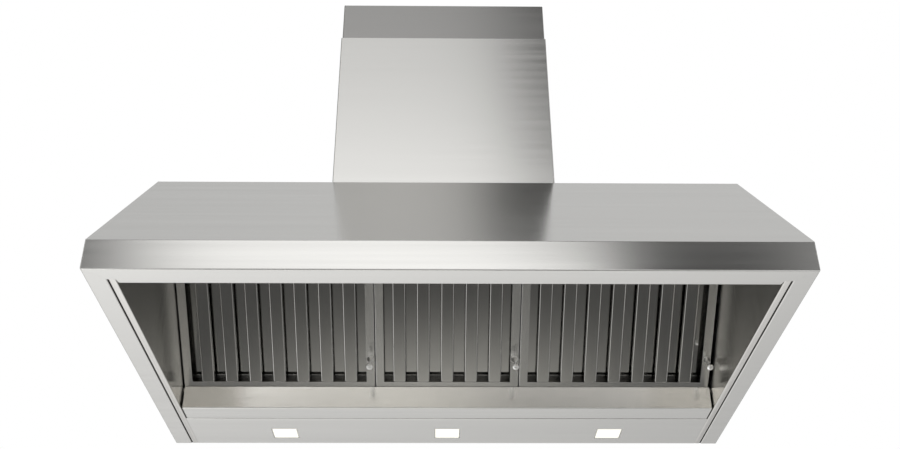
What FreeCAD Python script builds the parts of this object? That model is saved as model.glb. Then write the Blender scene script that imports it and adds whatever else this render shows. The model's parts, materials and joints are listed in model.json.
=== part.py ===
import FreeCAD, Part
import Sketcher
import math
import os
import re

# A wall-mounted canopy range hood, 1200 mm wide, in millimetres.
# Frame: X to the right as seen from the cook, Y towards the wall, Z up. The origin is on the wall,
# at mid width, level with the underside. The front of the canopy is at Y = -canopy_depth.

# ---------------------------------------------------------------- driving dimensions
SIZES = {
    # canopy
    "canopy_width": 1200, "canopy_depth": 788, "fascia_height": 55, "roof_run": 346,
    "roof_rise": 346, "skin": 1.2, "lip_width": 35, "front_lip": 48, "lip_hem": 9, "corner_nick": 4,
    # inner liner and its underside strips
    "liner_sheet": 1.0, "seam_gap": 2.5, "strip_width": 12, "strip_flange": 12, "liner_drop": 22,
    # light panel and its three square lamps
    "light_panel_depth": 145, "lamp_side": 54, "lamp_from_side": 249,
    "lamp_setback": 59.5, "lamp_height": 25, "lamp_wall": 4, "lens_thickness": 4, "board_thickness": 1.6,
    "lens_gap": 0.3,
    # grease tray
    "tray_depth": 56.5, "tray_gap": 1.5, "tray_height": 47.5, "tray_rear_height": 26, "tray_end_gap": 3,
    "clip_width": 30, "clip_height": 16, "clip_from_side": 250, "clip_gap": 0.3,
    # baffle filters
    "filter_slope": 38, "filter_below_roof": 57.84, "filter_narrow": 297, "filter_gap": 1.5,
    "filter_row_offset": -1.5, "filter_end_gap": 3.5, "filter_depth": 24, "filter_sheet": 1.0,
    "side_strip": 17.5, "end_strip": 20, "rear_end_strip": 25, "rear_side_strip": 5,
    "baffle_width": 26.5, "baffle_pitch": 49.5, "baffle_edge_gap": 15, "baffle_leg": 8,
    "rear_baffle_width": 36, "rear_baffle_leg": 11,
    "filter_overhang": 8, "tray_filter_gap": 0.7, "filter_seat_gap": 0.3, "filter_lift": 14,
    "rest_lip": 5, "rest_weld": 0.3, "rail_lip": 12, "rail_wall": 30,
    "drain_hole_radius": 3.5, "drain_slot_length": 40, "drain_slot_width": 22, "drain_slot_pitch": 90,
    "drain_margin": 50,
    "knob_reach": 38, "knob_from_end": 73.5, "knob_base_radius": 7, "knob_base_height": 2,
    "knob_cone_height": 12, "knob_neck_radius": 2.4, "knob_head_radius": 6.5, "knob_head_length": 9,
    "knob_rim_top": 5, "knob_rim_bottom": 3, "knob_tip_radius": 3.2,
    # flue covers
    "flue_width": 467, "flue_setback": 25, "flue_height": 413, "flue_offset": -10, "flue_sheet": 1.0,
    "flue_side_gap": 1.5, "flue_front_gap": 0.5, "upper_length": 400, "upper_showing": 100,
    "flue_return": 15, "flue_bracket_height": 40, "flue_bracket_sheet": 2, "flue_bolt_spacing": 300,
    # wall fixings
    "wall_bolt_from_side": 100, "upper_bolt_drop": 46, "lower_bolt_height": 60,
    "wall_hole_radius": 4.5, "rail_sheet": 3, "rail_height": 50, "rail_overhang": 40, "plate_side": 60,
    # duct collar and damper
    "duct_radius": 99, "duct_wall": 1.0, "collar_height": 60, "collar_flange_radius": 120,
    "duct_front_shift": 60, "spindle_height": 24, "spindle_radius": 2.5, "spindle_play": 0.05,
    "knuckle_wall": 2, "knuckle_length": 43, "knuckle_gap": 1, "flap_sheet": 1.2, "flap_gap": 1,
    "stop_width": 5, "stop_gap": 0.3, "collar_screw_ring": 110, "adapter_side": 224,
    # blower
    "blower_below_top": 156, "wheel_radius": 85, "wheel_width": 170, "blade_depth": 14,
    "blade_sheet": 1.0, "end_ring_width": 3, "end_ring_wall": 2, "scroll_radius": 98, "scroll_step": 15,
    "housing_width": 200, "housing_sheet": 1.2, "inlet_radius": 70, "inlet_lip": 8,
    "motor_radius": 45, "motor_length": 98, "motor_face": 20, "shaft_radius": 6, "shaft_play": 0.05,
    "shaft_depth": 40, "shaft_nose": 8, "hub_radius": 14, "hub_length": 12, "bracket_sheet": 3,
    "bracket_ring": 8, "bracket_arm": 16, "bracket_radius": 90, "motor_seat_gap": 0.3,
    # electrical box
    "box_width": 180, "box_depth": 80, "box_height": 120, "box_from_side": 120, "box_level": 120,
    "box_ear": 12, "lid_screw_inset": 6, "fitting_inset": 5,
    "terminal_width": 60, "terminal_height": 25, "terminal_depth": 30, "driver_width": 100,
    "driver_height": 40, "driver_depth": 30, "capacitor_radius": 16, "capacitor_length": 60,
    "gland_radius": 10, "gland_bore": 5, "gland_from_flue": 53.5, "gland_from_wall": 60,
    "gland_flange": 14, "gland_above": 24, "gland_below": 8, "gland_collar": 8, "gland_nut": 4,
    "gland_clearance": 0.2,
    # screws
    "screw_radius": 2, "screw_head": 4, "screw_head_height": 2.4, "screw_length": 6,
    "screw_clearance": 0.2,
}
BLADES = 36
COLLAR_SCREWS = 8
BRACKET_ARMS = 3
SIDES = (("left", "-1"), ("right", "1"))

DOC = FreeCAD.newDocument("RangeHood")
SHEET = DOC.addObject("Spreadsheet::Sheet", "Sizes")
for row, (alias, value) in enumerate(SIZES.items(), start=1):
    SHEET.set(f"A{row}", alias)
    SHEET.set(f"B{row}", str(value))
    SHEET.setAlias(f"B{row}", alias)
DOC.recompute()

# ---------------------------------------------------------------- places worked out from the sizes
HALF = "canopy_width / 2"
WALL_X = "(canopy_width / 2 - skin)"                       # inner face of a side panel
LIP_X = "(canopy_width / 2 - lip_width)"                   # inner edge of a side lip
STRIP_X = f"({LIP_X} - seam_gap)"                          # outer edge of a liner strip
LINER_X = f"({STRIP_X} - strip_width)"                     # inner face of a side liner
TOP_Z = "(fascia_height + roof_rise)"
TOP_Y = "(roof_run - canopy_depth)"                        # top edge of the sloping roof
PITCH = "roof_rise / roof_run"
LIP_Y = "(lip_width - canopy_depth)"
FRONT_Y = "(front_lip - canopy_depth)"                     # rear edge of the front lip
PANEL_Y = "(-light_panel_depth)"                           # front edge of the light panel
TRAY_BACK = f"({PANEL_Y} - tray_gap)"
TRAY_FRONT = f"({TRAY_BACK} - tray_depth)"
FILTER_Y = f"({TRAY_FRONT} + filter_overhang)"             # lower edge of the filters' faces
FILTER_Z = "(tray_height + tray_filter_gap - (filter_overhang - filter_sheet) * tan(filter_slope))"
SLOPE_RISE = f"(sin(filter_slope) + {PITCH} * cos(filter_slope))"
FILTER_LENGTH = (f"((fascia_height + ({FILTER_Y} + canopy_depth) * {PITCH} - filter_below_roof - {FILTER_Z})"
                 f" / {SLOPE_RISE})")
FILTER_WIDE = f"({LINER_X} - filter_end_gap - filter_gap - filter_narrow / 2)"
RAIL_STOP = f"({FILTER_LENGTH} + filter_lift + 2 * filter_seat_gap)"
BOLT_X = "(canopy_width / 2 - wall_bolt_from_side)"
UPPER_BOLT = f"({TOP_Z} - upper_bolt_drop)"
LAMP_X = "(canopy_width / 2 - lamp_from_side)"
BOX_X = "(canopy_width / 2 - box_from_side - box_width)"
FLUE_Y = f"({TOP_Y} + flue_setback)"
FLUE_TOP = f"({TOP_Z} + flue_height)"
UPPER_TOP = f"({FLUE_TOP} + upper_showing)"
DUCT_Y = f"({FLUE_Y} / 2)"
BLOWER_Y = f"({DUCT_Y} + duct_front_shift)"
BLOWER_Z = f"({TOP_Z} - blower_below_top)"
GLAND_X = "(flue_width / 2 + flue_offset - gland_from_flue)"
SCREW_HOLE = "screw_radius + screw_clearance"
SPINDLE_Z = f"({TOP_Z} + spindle_height)"
UNDER_TOP = f"({TOP_Z} - skin)"

PIECES = []


def bound(text):
    """The same expression, with every size in it read from the spreadsheet."""
    return re.sub(r"[a-z][a-z0-9_]*",
                  lambda word: "Sizes." + word.group() if word.group() in SIZES else word.group(), text)


def value(text):
    """What an expression of sizes comes to."""
    return float(SHEET.evalExpression(bound(text)))


def roof_z(y, drop="0"):
    """Height of the sloping roof's outer face over a place Y, less a drop."""
    return f"(fascia_height + (({y}) + canopy_depth) * {PITCH} - ({drop}))"


def slope_y(up, out="0"):
    """Y of a point that lies `up` the filters' slope and `out` above their faces."""
    return f"({FILTER_Y} - ({up}) * cos(filter_slope) + ({out}) * sin(filter_slope))"


def slope_z(up, out="0"):
    """Z of the same point."""
    return f"({FILTER_Z} + ({up}) * sin(filter_slope) + ({out}) * cos(filter_slope))"


# ---------------------------------------------------------------- drawing helpers
PLANES = {"X": "YZ_Plane", "Y": "XZ_Plane", "Z": "XY_Plane"}


def piece(label):
    """A new sub-part, as a body of its own."""
    body = DOC.addObject("PartDesign::Body", label)
    body.Label = label
    PIECES.append(body)
    return body


def add_polygon(sketch, points):
    """A closed outline through points given as pairs of expressions."""
    places = [FreeCAD.Vector(value(x), value(y), 0) for x, y in points]
    first = sketch.GeometryCount
    count = len(places)
    for i in range(count):
        sketch.addGeometry(Part.LineSegment(places[i], places[(i + 1) % count]), False)
    for i in range(count):
        after = first + (i + 1) % count
        sketch.addConstraint(Sketcher.Constraint("Coincident", first + i, 2, after, 1))
    for i, (x, y) in enumerate(points):
        for kind, text, number in (("DistanceX", x, places[i].x), ("DistanceY", y, places[i].y)):
            index = sketch.addConstraint(Sketcher.Constraint(kind, -1, 1, first + i, 1, number))
            sketch.setExpression(f"Constraints[{index}]", bound(text))


def add_circle(sketch, x, y, radius):
    """A circle whose centre and radius are expressions."""
    centre = FreeCAD.Vector(value(x), value(y), 0)
    circle = sketch.addGeometry(Part.Circle(centre, FreeCAD.Vector(0, 0, 1), value(radius)), False)
    for kind, text, number in (("DistanceX", x, centre.x), ("DistanceY", y, centre.y)):
        index = sketch.addConstraint(Sketcher.Constraint(kind, -1, 1, circle, 3, number))
        sketch.setExpression(f"Constraints[{index}]", bound(text))
    index = sketch.addConstraint(Sketcher.Constraint("Radius", circle, value(radius)))
    sketch.setExpression(f"Constraints[{index}]", bound(radius))


def draw(body, name, axis, loops, level="0"):
    """A sketch square to an axis of the body, at a level along the plane's own normal."""
    sketch = body.newObject("Sketcher::SketchObject", f"{body.Label}_{name}_sketch")
    plane = next(part for part in body.Origin.OriginFeatures if part.Role == PLANES[axis])
    sketch.AttachmentSupport = (plane, [""])
    sketch.MapMode = "FlatFace"
    sketch.setExpression(".AttachmentOffset.Base.z", bound(level))
    for loop in loops:
        if loop[0] == "circle":
            add_circle(sketch, *loop[1:])
        else:
            add_polygon(sketch, loop)
    return sketch


def extrude(body, name, axis, loops, low, high, cut=False):
    """Adds, or cuts away, the loops carried along an axis from low to high.

    The plane square to Y faces -Y, so there the sketch lies at the high end.
    """
    level = f"-({high})" if axis == "Y" else f"({low})"
    sketch = draw(body, name, axis, loops, level)
    kind = "PartDesign::Pocket" if cut else "PartDesign::Pad"
    feature = body.newObject(kind, f"{body.Label}_{name}")
    feature.Profile = sketch
    feature.Reversed = cut
    feature.setExpression("Length", bound(f"({high}) - ({low})"))
    body.Tip = feature
    return feature


def rectangle(first, second):
    """The corners of a rectangle, from its two spans."""
    return [(first[0], second[0]), (first[1], second[0]), (first[1], second[1]), (first[0], second[1])]


def block(body, name, xs, ys, zs, cut=False):
    """A rectangular block between pairs of expressions."""
    return extrude(body, name, "Z", [rectangle(xs, ys)], zs[0], zs[1], cut)


def both(text):
    """The span from minus to plus an expression."""
    return (f"-({text})", f"({text})")


def row_of(body, name, originals, sketch, length, count):
    """Copies of features along the sketch's horizontal axis."""
    DOC.recompute()
    pattern = body.newObject("PartDesign::LinearPattern", f"{body.Label}_{name}")
    pattern.Originals = originals
    pattern.Direction = (sketch, ["H_Axis"])
    pattern.setExpression("Length", bound(length))
    pattern.Occurrences = count
    body.Tip = pattern
    return pattern


def ring_of(body, name, originals, sketch, count):
    """Copies of features about the normal axis of a sketch."""
    DOC.recompute()
    pattern = body.newObject("PartDesign::PolarPattern", f"{body.Label}_{name}")
    pattern.Originals = originals
    pattern.Axis = (sketch, ["N_Axis"])
    pattern.Angle = 360
    pattern.Occurrences = count
    body.Tip = pattern
    return pattern


def place(body, x="0", y="0", z="0", axis=None, angle="0"):
    """Puts a body where the expressions say, turned about an axis."""
    if axis:
        body.Placement = FreeCAD.Placement(FreeCAD.Vector(), FreeCAD.Rotation(axis, value(angle)))
        body.setExpression(".Placement.Rotation.Angle", bound(angle))
    for letter, text in (("x", x), ("y", y), ("z", z)):
        body.setExpression(f".Placement.Base.{letter}", bound(text))


def shape_piece(label, shape):
    """A sub-part made straight from a shape, such as several solids or a face with arcs."""
    feature = DOC.addObject("Part::Feature", label)
    feature.Label = label
    feature.Shape = shape
    PIECES.append(feature)
    return feature


def prism(axis, corners, low, high):
    """A solid whose outline, in the plane square to X or Z, is given by pairs of expressions."""
    low, high = value(low), value(high)
    flat = [(value(first), value(second)) for first, second in corners]
    if axis == "X":
        points, travel = [FreeCAD.Vector(low, y, z) for y, z in flat], FreeCAD.Vector(high - low, 0, 0)
    else:
        points, travel = [FreeCAD.Vector(x, y, low) for x, y in flat], FreeCAD.Vector(0, 0, high - low)
    return Part.Face(Part.makePolygon(points + points[:1])).extrude(travel)


# ---------------------------------------------------------------- canopy
def canopy_sheets():
    """Front, sloping roof and top, joined along mitred edges so that their outer faces meet.

    The front is its fascia, its lip and the lip's hem, which meet at the folds.
    """
    top_corner = (TOP_Y, TOP_Z)
    top_mitre = (f"{TOP_Y} + skin * tan(atan({PITCH}) / 2)", UNDER_TOP)
    front_corner = ("-canopy_depth", "fascia_height")
    front_mitre = ("skin - canopy_depth", f"fascia_height - skin * tan((90deg - atan({PITCH})) / 2)")
    fascia = [("-canopy_depth", "0"), front_corner, front_mitre, ("skin - canopy_depth", "0")]
    inside = f"({LINER_X} - corner_nick)"
    lip = [(WALL_X, "skin - canopy_depth"), (LIP_X, LIP_Y), (LINER_X, LIP_Y), (inside, FRONT_Y),
           (f"-{inside}", FRONT_Y), (f"-{LINER_X}", LIP_Y), (f"-{LIP_X}", LIP_Y),
           (f"-{WALL_X}", "skin - canopy_depth")]
    hem = rectangle((f"{FRONT_Y} - skin", FRONT_Y), ("skin", "lip_hem"))
    shape_piece("canopy_front", Part.makeCompound([
        prism("X", fascia, *both(WALL_X)), prism("Z", lip, "0", "skin"), prism("X", hem, *both(inside))]))
    roof = piece("canopy_roof")
    extrude(roof, "sheet", "X", [[front_corner, top_corner, top_mitre, front_mitre]], *both(WALL_X))
    top = piece("canopy_top")
    extrude(top, "sheet", "X", [[top_corner, ("0", TOP_Z), ("0", UNDER_TOP), top_mitre]], *both(WALL_X))
    holes = [("circle", "0", DUCT_Y, "duct_radius - duct_wall"),
             ("circle", GLAND_X, "-gland_from_wall", "gland_radius + gland_clearance"),
             *screw_ring(SCREW_HOLE, DUCT_Y)]
    extrude(top, "holes", "Z", holes, f"{UNDER_TOP} - skin", f"{TOP_Z} + skin", cut=True)


def screw_ring(radius, y="0"):
    """A circle at each place of the collar's screw ring, whose centre is at Y."""
    turns = [(i + 0.5) * 360 / COLLAR_SCREWS for i in range(COLLAR_SCREWS)]
    return [("circle", f"collar_screw_ring * cos({turn})", f"{y} + collar_screw_ring * sin({turn})", radius)
            for turn in turns]


def side_panels():
    """Flat side walls, each with an inward lip, mitred at the front, and its hem."""
    outline = [("-canopy_depth", "0"), ("0", "0"), ("0", TOP_Z), (TOP_Y, TOP_Z),
               ("-canopy_depth", "fascia_height")]
    for side, sign in SIDES:
        body = piece(f"side_panel_{side}")
        low, high = (f"-{HALF}", f"-{WALL_X}") if side == "left" else (WALL_X, HALF)
        extrude(body, "wall", "X", [outline], low, high)
        lip = [(f"{sign} * {HALF}", "-canopy_depth"), (f"{sign} * {LIP_X}", LIP_Y),
               (f"{sign} * {LIP_X}", "0"), (f"{sign} * {HALF}", "0")]
        extrude(body, "lip", "Z", [lip], "0", "skin")
        block(body, "hem", (f"{sign} * {LIP_X}", f"{sign} * ({LIP_X} + skin)"), (LIP_Y, "-skin"),
              ("0", "lip_hem"))


def rear_panel():
    """The back against the wall, with the four fixing holes."""
    body = piece("rear_panel")
    block(body, "sheet", both(WALL_X), ("-skin", "0"), ("skin", UNDER_TOP))
    extrude(body, "holes", "Y", wall_holes(), "-2 * skin", "skin", cut=True)


def wall_holes(rows=("lower_bolt_height", UPPER_BOLT)):
    """Circles of the wall screws, in the plane square to Y."""
    return [("circle", f"{sign} * {BOLT_X}", row, "wall_hole_radius")
            for row in rows for sign in ("-1", "1")]


def wall_stiffeners():
    """A thick rail and two plates that spread the wall screws' load inside the back."""
    body = piece("wall_stiffeners")
    reach = f"({BOLT_X} + rail_overhang)"
    spans = [rectangle(both(reach), (f"{UPPER_BOLT} - rail_height / 2", f"{UPPER_BOLT} + rail_height / 2"))]
    spans += [rectangle((f"{sign} * {BOLT_X} - plate_side / 2", f"{sign} * {BOLT_X} + plate_side / 2"),
                        ("lower_bolt_height - plate_side / 2", "lower_bolt_height + plate_side / 2"))
              for sign in ("-1", "1")]
    extrude(body, "plates", "Y", spans, "-skin - rail_sheet", "-skin")
    extrude(body, "holes", "Y", wall_holes(), "-2 * rail_sheet - skin", "0", cut=True)


# ---------------------------------------------------------------- liner
def side_liners():
    """Inner walls folded up from the underside strips, flanged out to the side panels at the top."""
    wall = [(LIP_Y, "0"), ("-skin", "0"), ("-skin", f"{TOP_Z} - liner_drop"),
            (TOP_Y, f"{TOP_Z} - liner_drop"), (LIP_Y, roof_z(LIP_Y, "liner_drop"))]
    for side, sign in SIDES:
        body = piece(f"side_liner_{side}")
        outer = f"({LINER_X} + liner_sheet)"
        low, high = (f"-{outer}", f"-{LINER_X}") if side == "left" else (LINER_X, outer)
        extrude(body, "wall", "X", [wall], low, high)
        block(body, "strip", (f"{sign} * {LINER_X}", f"{sign} * {STRIP_X}"), (LIP_Y, "-skin"),
              ("0", "liner_sheet"))
        block(body, "edge", (f"{sign} * ({STRIP_X} - liner_sheet)", f"{sign} * {STRIP_X}"),
              (f"{LIP_Y} + skin", "-skin"), ("0", "strip_flange"))
        block(body, "flange", (f"{sign} * {LINER_X}", f"{sign} * {WALL_X}"), (TOP_Y, "-skin"),
              (f"{TOP_Z} - liner_drop - liner_sheet", f"{TOP_Z} - liner_drop"))


def front_liner():
    """Inner front, from the front lip's hem up beside the roof to the filters' top rail."""
    body = piece("front_liner")
    face = f"({FRONT_Y} - skin)"
    front = f"({face} - liner_sheet)"
    end = rail_hanger_y()
    lift = f"liner_sheet / cos(atan({PITCH}))"
    profile = [(front, "skin"), (face, "skin"), (face, roof_z(face, "liner_drop")),
               (end, roof_z(end, "liner_drop")), (end, f"{roof_z(end, 'liner_drop')} + {lift}"),
               (front, f"{roof_z(front, 'liner_drop')} + {lift}")]
    extrude(body, "sheet", "X", [profile], f"-{LINER_X}", LINER_X)


def rail_hanger_y():
    """Rear face of the plate that hangs the top rail from the front liner."""
    return slope_y(RAIL_STOP, "rail_wall")


def filter_top_rail():
    """The rail behind whose lip the filters' upper ends stand, with room to lift them.

    It is a lip, a wall and a hanger, which meet at mitred folds.
    """
    low, face = "-filter_seat_gap - skin", "-filter_seat_gap"
    tip, back_of_wall = f"{FILTER_LENGTH} - rail_lip", f"{RAIL_STOP} + skin"
    mitre = "rail_wall - skin * tan(filter_slope / 2)"
    lip = [(tip, low), (tip, face), (RAIL_STOP, face), (back_of_wall, low)]
    wall = [(back_of_wall, low), (RAIL_STOP, face), (RAIL_STOP, "rail_wall"), (back_of_wall, mitre)]
    back = rail_hanger_y()
    front = f"({back} - skin)"
    hanger = [(back, slope_z(RAIL_STOP, "rail_wall")), (back, roof_z(back, "liner_drop")),
              (front, roof_z(front, "liner_drop")), (front, slope_z(back_of_wall, mitre))]
    outlines = [[(slope_y(*point), slope_z(*point)) for point in line] for line in (lip, wall)]
    shape_piece("filter_top_rail", Part.makeCompound([
        prism("X", outline, *both(LINER_X)) for outline in (*outlines, hanger)]))


def filter_rest():
    """The shelf over the tray on which the filters' lower ends sit, with slots that drain it, and
    its leg down to the light panel."""
    body = piece("filter_rest")
    gap, under = "-filter_seat_gap", "-filter_seat_gap - skin"
    seat = [(under, under), ("rest_lip", under), ("rest_lip", gap), (gap, gap), (gap, "rest_lip"),
            (under, "rest_lip")]
    reach = both(LINER_X)
    extrude(body, "seat", "X", [[(slope_y(*point), slope_z(*point)) for point in seat]], *reach)
    top = f"({FILTER_Z} - filter_seat_gap - skin / 2)"
    block(body, "shelf", reach, (f"{FILTER_Y} - rest_weld", f"{PANEL_Y} + skin"), (f"{top} - skin", top))
    block(body, "leg", reach, (PANEL_Y, f"{PANEL_Y} + skin"), ("liner_sheet", top))
    middle = f"({FILTER_Y} / 2 + {PANEL_Y} / 2)"
    slot = rectangle(both("drain_slot_length / 2"),
                     (f"{middle} - drain_slot_width / 2", f"{middle} + drain_slot_width / 2"))
    room = f"(2 * {LINER_X} - drain_slot_length - 2 * drain_margin)"
    count = 1 + math.floor(value(f"{room} / drain_slot_pitch"))
    shifted = [(f"{x} - drain_slot_pitch * {(count - 1) / 2}", y) for x, y in slot]
    cut = extrude(body, "drain", "Z", [shifted], f"{top} - 2 * skin", f"{top} + skin", cut=True)
    row_of(body, "drains", [cut], cut.Profile[0], f"drain_slot_pitch * {count - 1}", count)


# ---------------------------------------------------------------- lights
def light_panel():
    """The strip of underside next to the wall, with three lamp holes."""
    body = piece("light_panel")
    block(body, "sheet", both(LINER_X), (PANEL_Y, "-skin"), ("0", "liner_sheet"))
    hole = "lamp_side / 2 + lens_gap"
    loops = [rectangle((f"{i} * {LAMP_X} - ({hole})", f"{i} * {LAMP_X} + {hole}"),
                       (f"-lamp_setback - ({hole})", f"-lamp_setback + {hole}")) for i in (-1, 0, 1)]
    extrude(body, "lamp_holes", "Z", loops, "-liner_sheet", "2 * liner_sheet", cut=True)


def lamps():
    """Three recessed square lamps: a cast body on the panel, a flush lens and the light board."""
    inner, outer = "lamp_side / 2 + lens_gap", "lamp_side / 2 + lens_gap + lamp_wall"
    for name, i in (("left", "-1"), ("centre", "0"), ("right", "1")):
        x, y = f"{i} * {LAMP_X}", "-lamp_setback"
        body = piece(f"lamp_body_{name}")
        block(body, "case", both(outer), both(outer), ("liner_sheet", "lamp_height"))
        block(body, "well", both(inner), both(inner), ("0", "lamp_height - lamp_wall"), cut=True)
        place(body, x, y)
        lens = piece(f"lamp_lens_{name}")
        block(lens, "pane", both("lamp_side / 2"), both("lamp_side / 2"), ("lens_gap", "lens_thickness"))
        place(lens, x, y)
        board = piece(f"lamp_board_{name}")
        top = "lamp_height - lamp_wall"
        block(board, "plate", both("lamp_side / 2"), both("lamp_side / 2"),
              (f"{top} - board_thickness", top))
        place(board, x, y)


# ---------------------------------------------------------------- grease tray
def grease_tray():
    """The trough under the filters' lower ends, as its floor, front and back, which meet at the
    folds, with its two end plates and the leaf springs that hold it; it drops out straight down."""
    reach = f"({LINER_X} - tray_end_gap - filter_sheet)"
    floor = rectangle((TRAY_FRONT, TRAY_BACK), ("0", "filter_sheet"))
    front = rectangle((TRAY_FRONT, f"{TRAY_FRONT} + filter_sheet"), ("filter_sheet", "tray_height"))
    back = rectangle((f"{TRAY_BACK} - filter_sheet", TRAY_BACK), ("filter_sheet", "tray_rear_height"))
    shape_piece("grease_tray", Part.makeCompound([
        prism("X", outline, *both(reach)) for outline in (floor, front, back)]))
    ends = piece("tray_ends")
    end = [(TRAY_FRONT, "0"), (TRAY_BACK, "0"), (TRAY_BACK, "tray_rear_height"),
           (f"{FILTER_Y} - rest_lip", "tray_rear_height"), (TRAY_FRONT, "tray_height")]
    extrude(ends, "left", "X", [end], f"-{reach} - filter_sheet", f"-{reach}")
    extrude(ends, "right", "X", [end], reach, f"{reach} + filter_sheet")
    clips = piece("tray_clips")
    middle = "(canopy_width / 2 - clip_from_side)"
    spans = [rectangle((f"{sign} * {middle} - clip_width / 2", f"{sign} * {middle} + clip_width / 2"),
                       ("liner_sheet", "liner_sheet + clip_height")) for sign in ("-1", "1")]
    extrude(clips, "leaves", "Y", spans, f"{TRAY_BACK} + clip_gap", PANEL_Y)


# ---------------------------------------------------------------- filters
def filter_parts(number, width, centre):
    """One baffle filter, drawn lying flat and then set on its slope.

    In its own frame Y runs down the slope, from minus its length to 0, and Z is 0 on the face that
    shows.
    """
    window = f"({width} - 2 * side_strip - 2 * baffle_edge_gap - baffle_width)"
    baffles = 1 + math.floor(value(f"{window} / baffle_pitch"))
    frame_parts = [filter_frame(number, width, baffles), front_baffles(number, baffles),
                   rear_baffles(number, baffles), filter_knob(number, width)]
    for body in frame_parts:
        place(body, centre, FILTER_Y, FILTER_Z, FreeCAD.Vector(-1, 0, 0), "filter_slope")


def filter_frame(number, width, baffles):
    """A channel round the filter, open inwards, with a drain hole at each gap's lower end."""
    body = piece(f"filter_{number}_frame")
    half = f"{width} / 2"
    outside = rectangle(both(half), (f"-{FILTER_LENGTH}", "0"))
    inner = rectangle(both(f"{half} - side_strip"), (f"end_strip - {FILTER_LENGTH}", "-end_strip"))
    rear = rectangle(both(f"{half} - rear_side_strip"),
                     (f"rear_end_strip - {FILTER_LENGTH}", "-rear_end_strip"))
    web = rectangle(both(f"{half} - filter_sheet"), (f"filter_sheet - {FILTER_LENGTH}", "-filter_sheet"))
    high = "filter_depth - filter_sheet"
    extrude(body, "face", "Z", [outside, inner], "0", "filter_sheet")
    extrude(body, "web", "Z", [outside, web], "0", high)
    extrude(body, "back", "Z", [outside, rear], f"{high} - filter_sheet", high)
    holes = [("circle", f"{i - baffles / 2} * baffle_pitch", "filter_depth / 2", "drain_hole_radius")
             for i in range(baffles + 1)]
    extrude(body, "drains", "Y", holes, "-2 * filter_sheet", "filter_sheet", cut=True)
    return body


def channel(half, low, high, thick, opens_up):
    """The section of a folded channel, flat across and with two legs."""
    base, tip = (low, high) if opens_up else (high, low)
    step = f"({base}) + {thick}" if opens_up else f"({base}) - {thick}"
    return [(f"-({half})", base), (half, base), (half, tip), (f"{half} - {thick}", tip),
            (f"{half} - {thick}", step), (f"-({half}) + {thick}", step), (f"-({half}) + {thick}", tip),
            (f"-({half})", tip)]


def front_baffles(number, count):
    """The channels that show, their ends lying on the frame's end strips."""
    body = piece(f"filter_{number}_front_baffles")
    section = channel("baffle_width / 2", "filter_sheet", "2 * filter_sheet + baffle_leg", "filter_sheet",
                      True)
    start = f"baffle_pitch * {(count - 1) / 2}"
    section = [(f"{x} - {start}", z) for x, z in section]
    pad = extrude(body, "channel", "Y", [section], f"2 * filter_sheet - {FILTER_LENGTH}",
                  "-2 * filter_sheet")
    row_of(body, "row", [pad], pad.Profile[0], f"baffle_pitch * {count - 1}", count)
    return body


def rear_baffles(number, count):
    """Wider channels behind the gaps, turned the other way, so that the air has to bend."""
    body = piece(f"filter_{number}_rear_baffles")
    start = f"baffle_pitch * {count / 2}"
    half = "rear_baffle_width / 2"
    flat = [(f"{x} - {start}", z) for x, z in
            rectangle(both(half), ("filter_depth - filter_sheet", "filter_depth"))]
    pad = extrude(body, "flat", "Y", [flat], f"side_strip / 2 - {FILTER_LENGTH}", "-side_strip / 2")
    low, high = "filter_depth - filter_sheet - rear_baffle_leg", "filter_depth - filter_sheet / 2"
    clear = "rear_end_strip + 2 * filter_sheet"
    legs = [pad]
    for i, (left, right) in enumerate(((f"-{half}", f"-{half} + filter_sheet"),
                                       (f"{half} - filter_sheet", half))):
        leg = [(f"{x} - {start}", z) for x, z in rectangle((left, right), (low, high))]
        legs.append(extrude(body, f"leg_{i}", "Y", [leg], f"{clear} - {FILTER_LENGTH}", f"-({clear})"))
    row_of(body, "row", legs, pad.Profile[0], f"baffle_pitch * {count}", count + 1)
    return body


def filter_knob(number, width):
    """The pull on the right-hand strip: a coned foot, a thin neck and a domed head."""
    body = piece(f"filter_{number}_knob")
    knob = body.newObject("PartDesign::Revolution", f"{body.Label}_turned")
    x, head = f"({width} / 2 - side_strip / 2)", "knob_head_radius"
    points = [(x, "0"), (f"{x} + knob_base_radius", "0"), (f"{x} + knob_base_radius", "-knob_base_height"),
              (f"{x} + knob_neck_radius", "-knob_cone_height"),
              (f"{x} + knob_neck_radius", "knob_head_length - knob_reach"),
              (f"{x} + {head}", "knob_rim_top - knob_reach"),
              (f"{x} + {head}", "knob_rim_bottom - knob_reach"),
              (f"{x} + knob_tip_radius", "-knob_reach"), (x, "-knob_reach")]
    sketch = draw(body, "profile", "Y", [points], "knob_from_end")
    ends = [FreeCAD.Vector(value(x), y, 0) for y in (0, -value("knob_reach"))]
    axis = sketch.addGeometry(Part.LineSegment(*ends), True)
    sketch.addConstraint(Sketcher.Constraint("Vertical", axis))
    index = sketch.addConstraint(Sketcher.Constraint("DistanceX", -1, 1, axis, 1, value(x)))
    sketch.setExpression(f"Constraints[{index}]", bound(x))
    knob.Profile = sketch
    knob.ReferenceAxis = (sketch, ["Axis0"])
    knob.Angle = 360
    body.Tip = knob
    return body


def filters():
    """Two wide filters with a narrow one between them."""
    step = f"(filter_narrow / 2 + filter_gap + {FILTER_WIDE} / 2)"
    for number, width, centre in ((1, FILTER_WIDE, f"filter_row_offset - {step}"),
                                  (2, "filter_narrow", "filter_row_offset"),
                                  (3, FILTER_WIDE, f"filter_row_offset + {step}")):
        filter_parts(number, width, centre)


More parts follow.
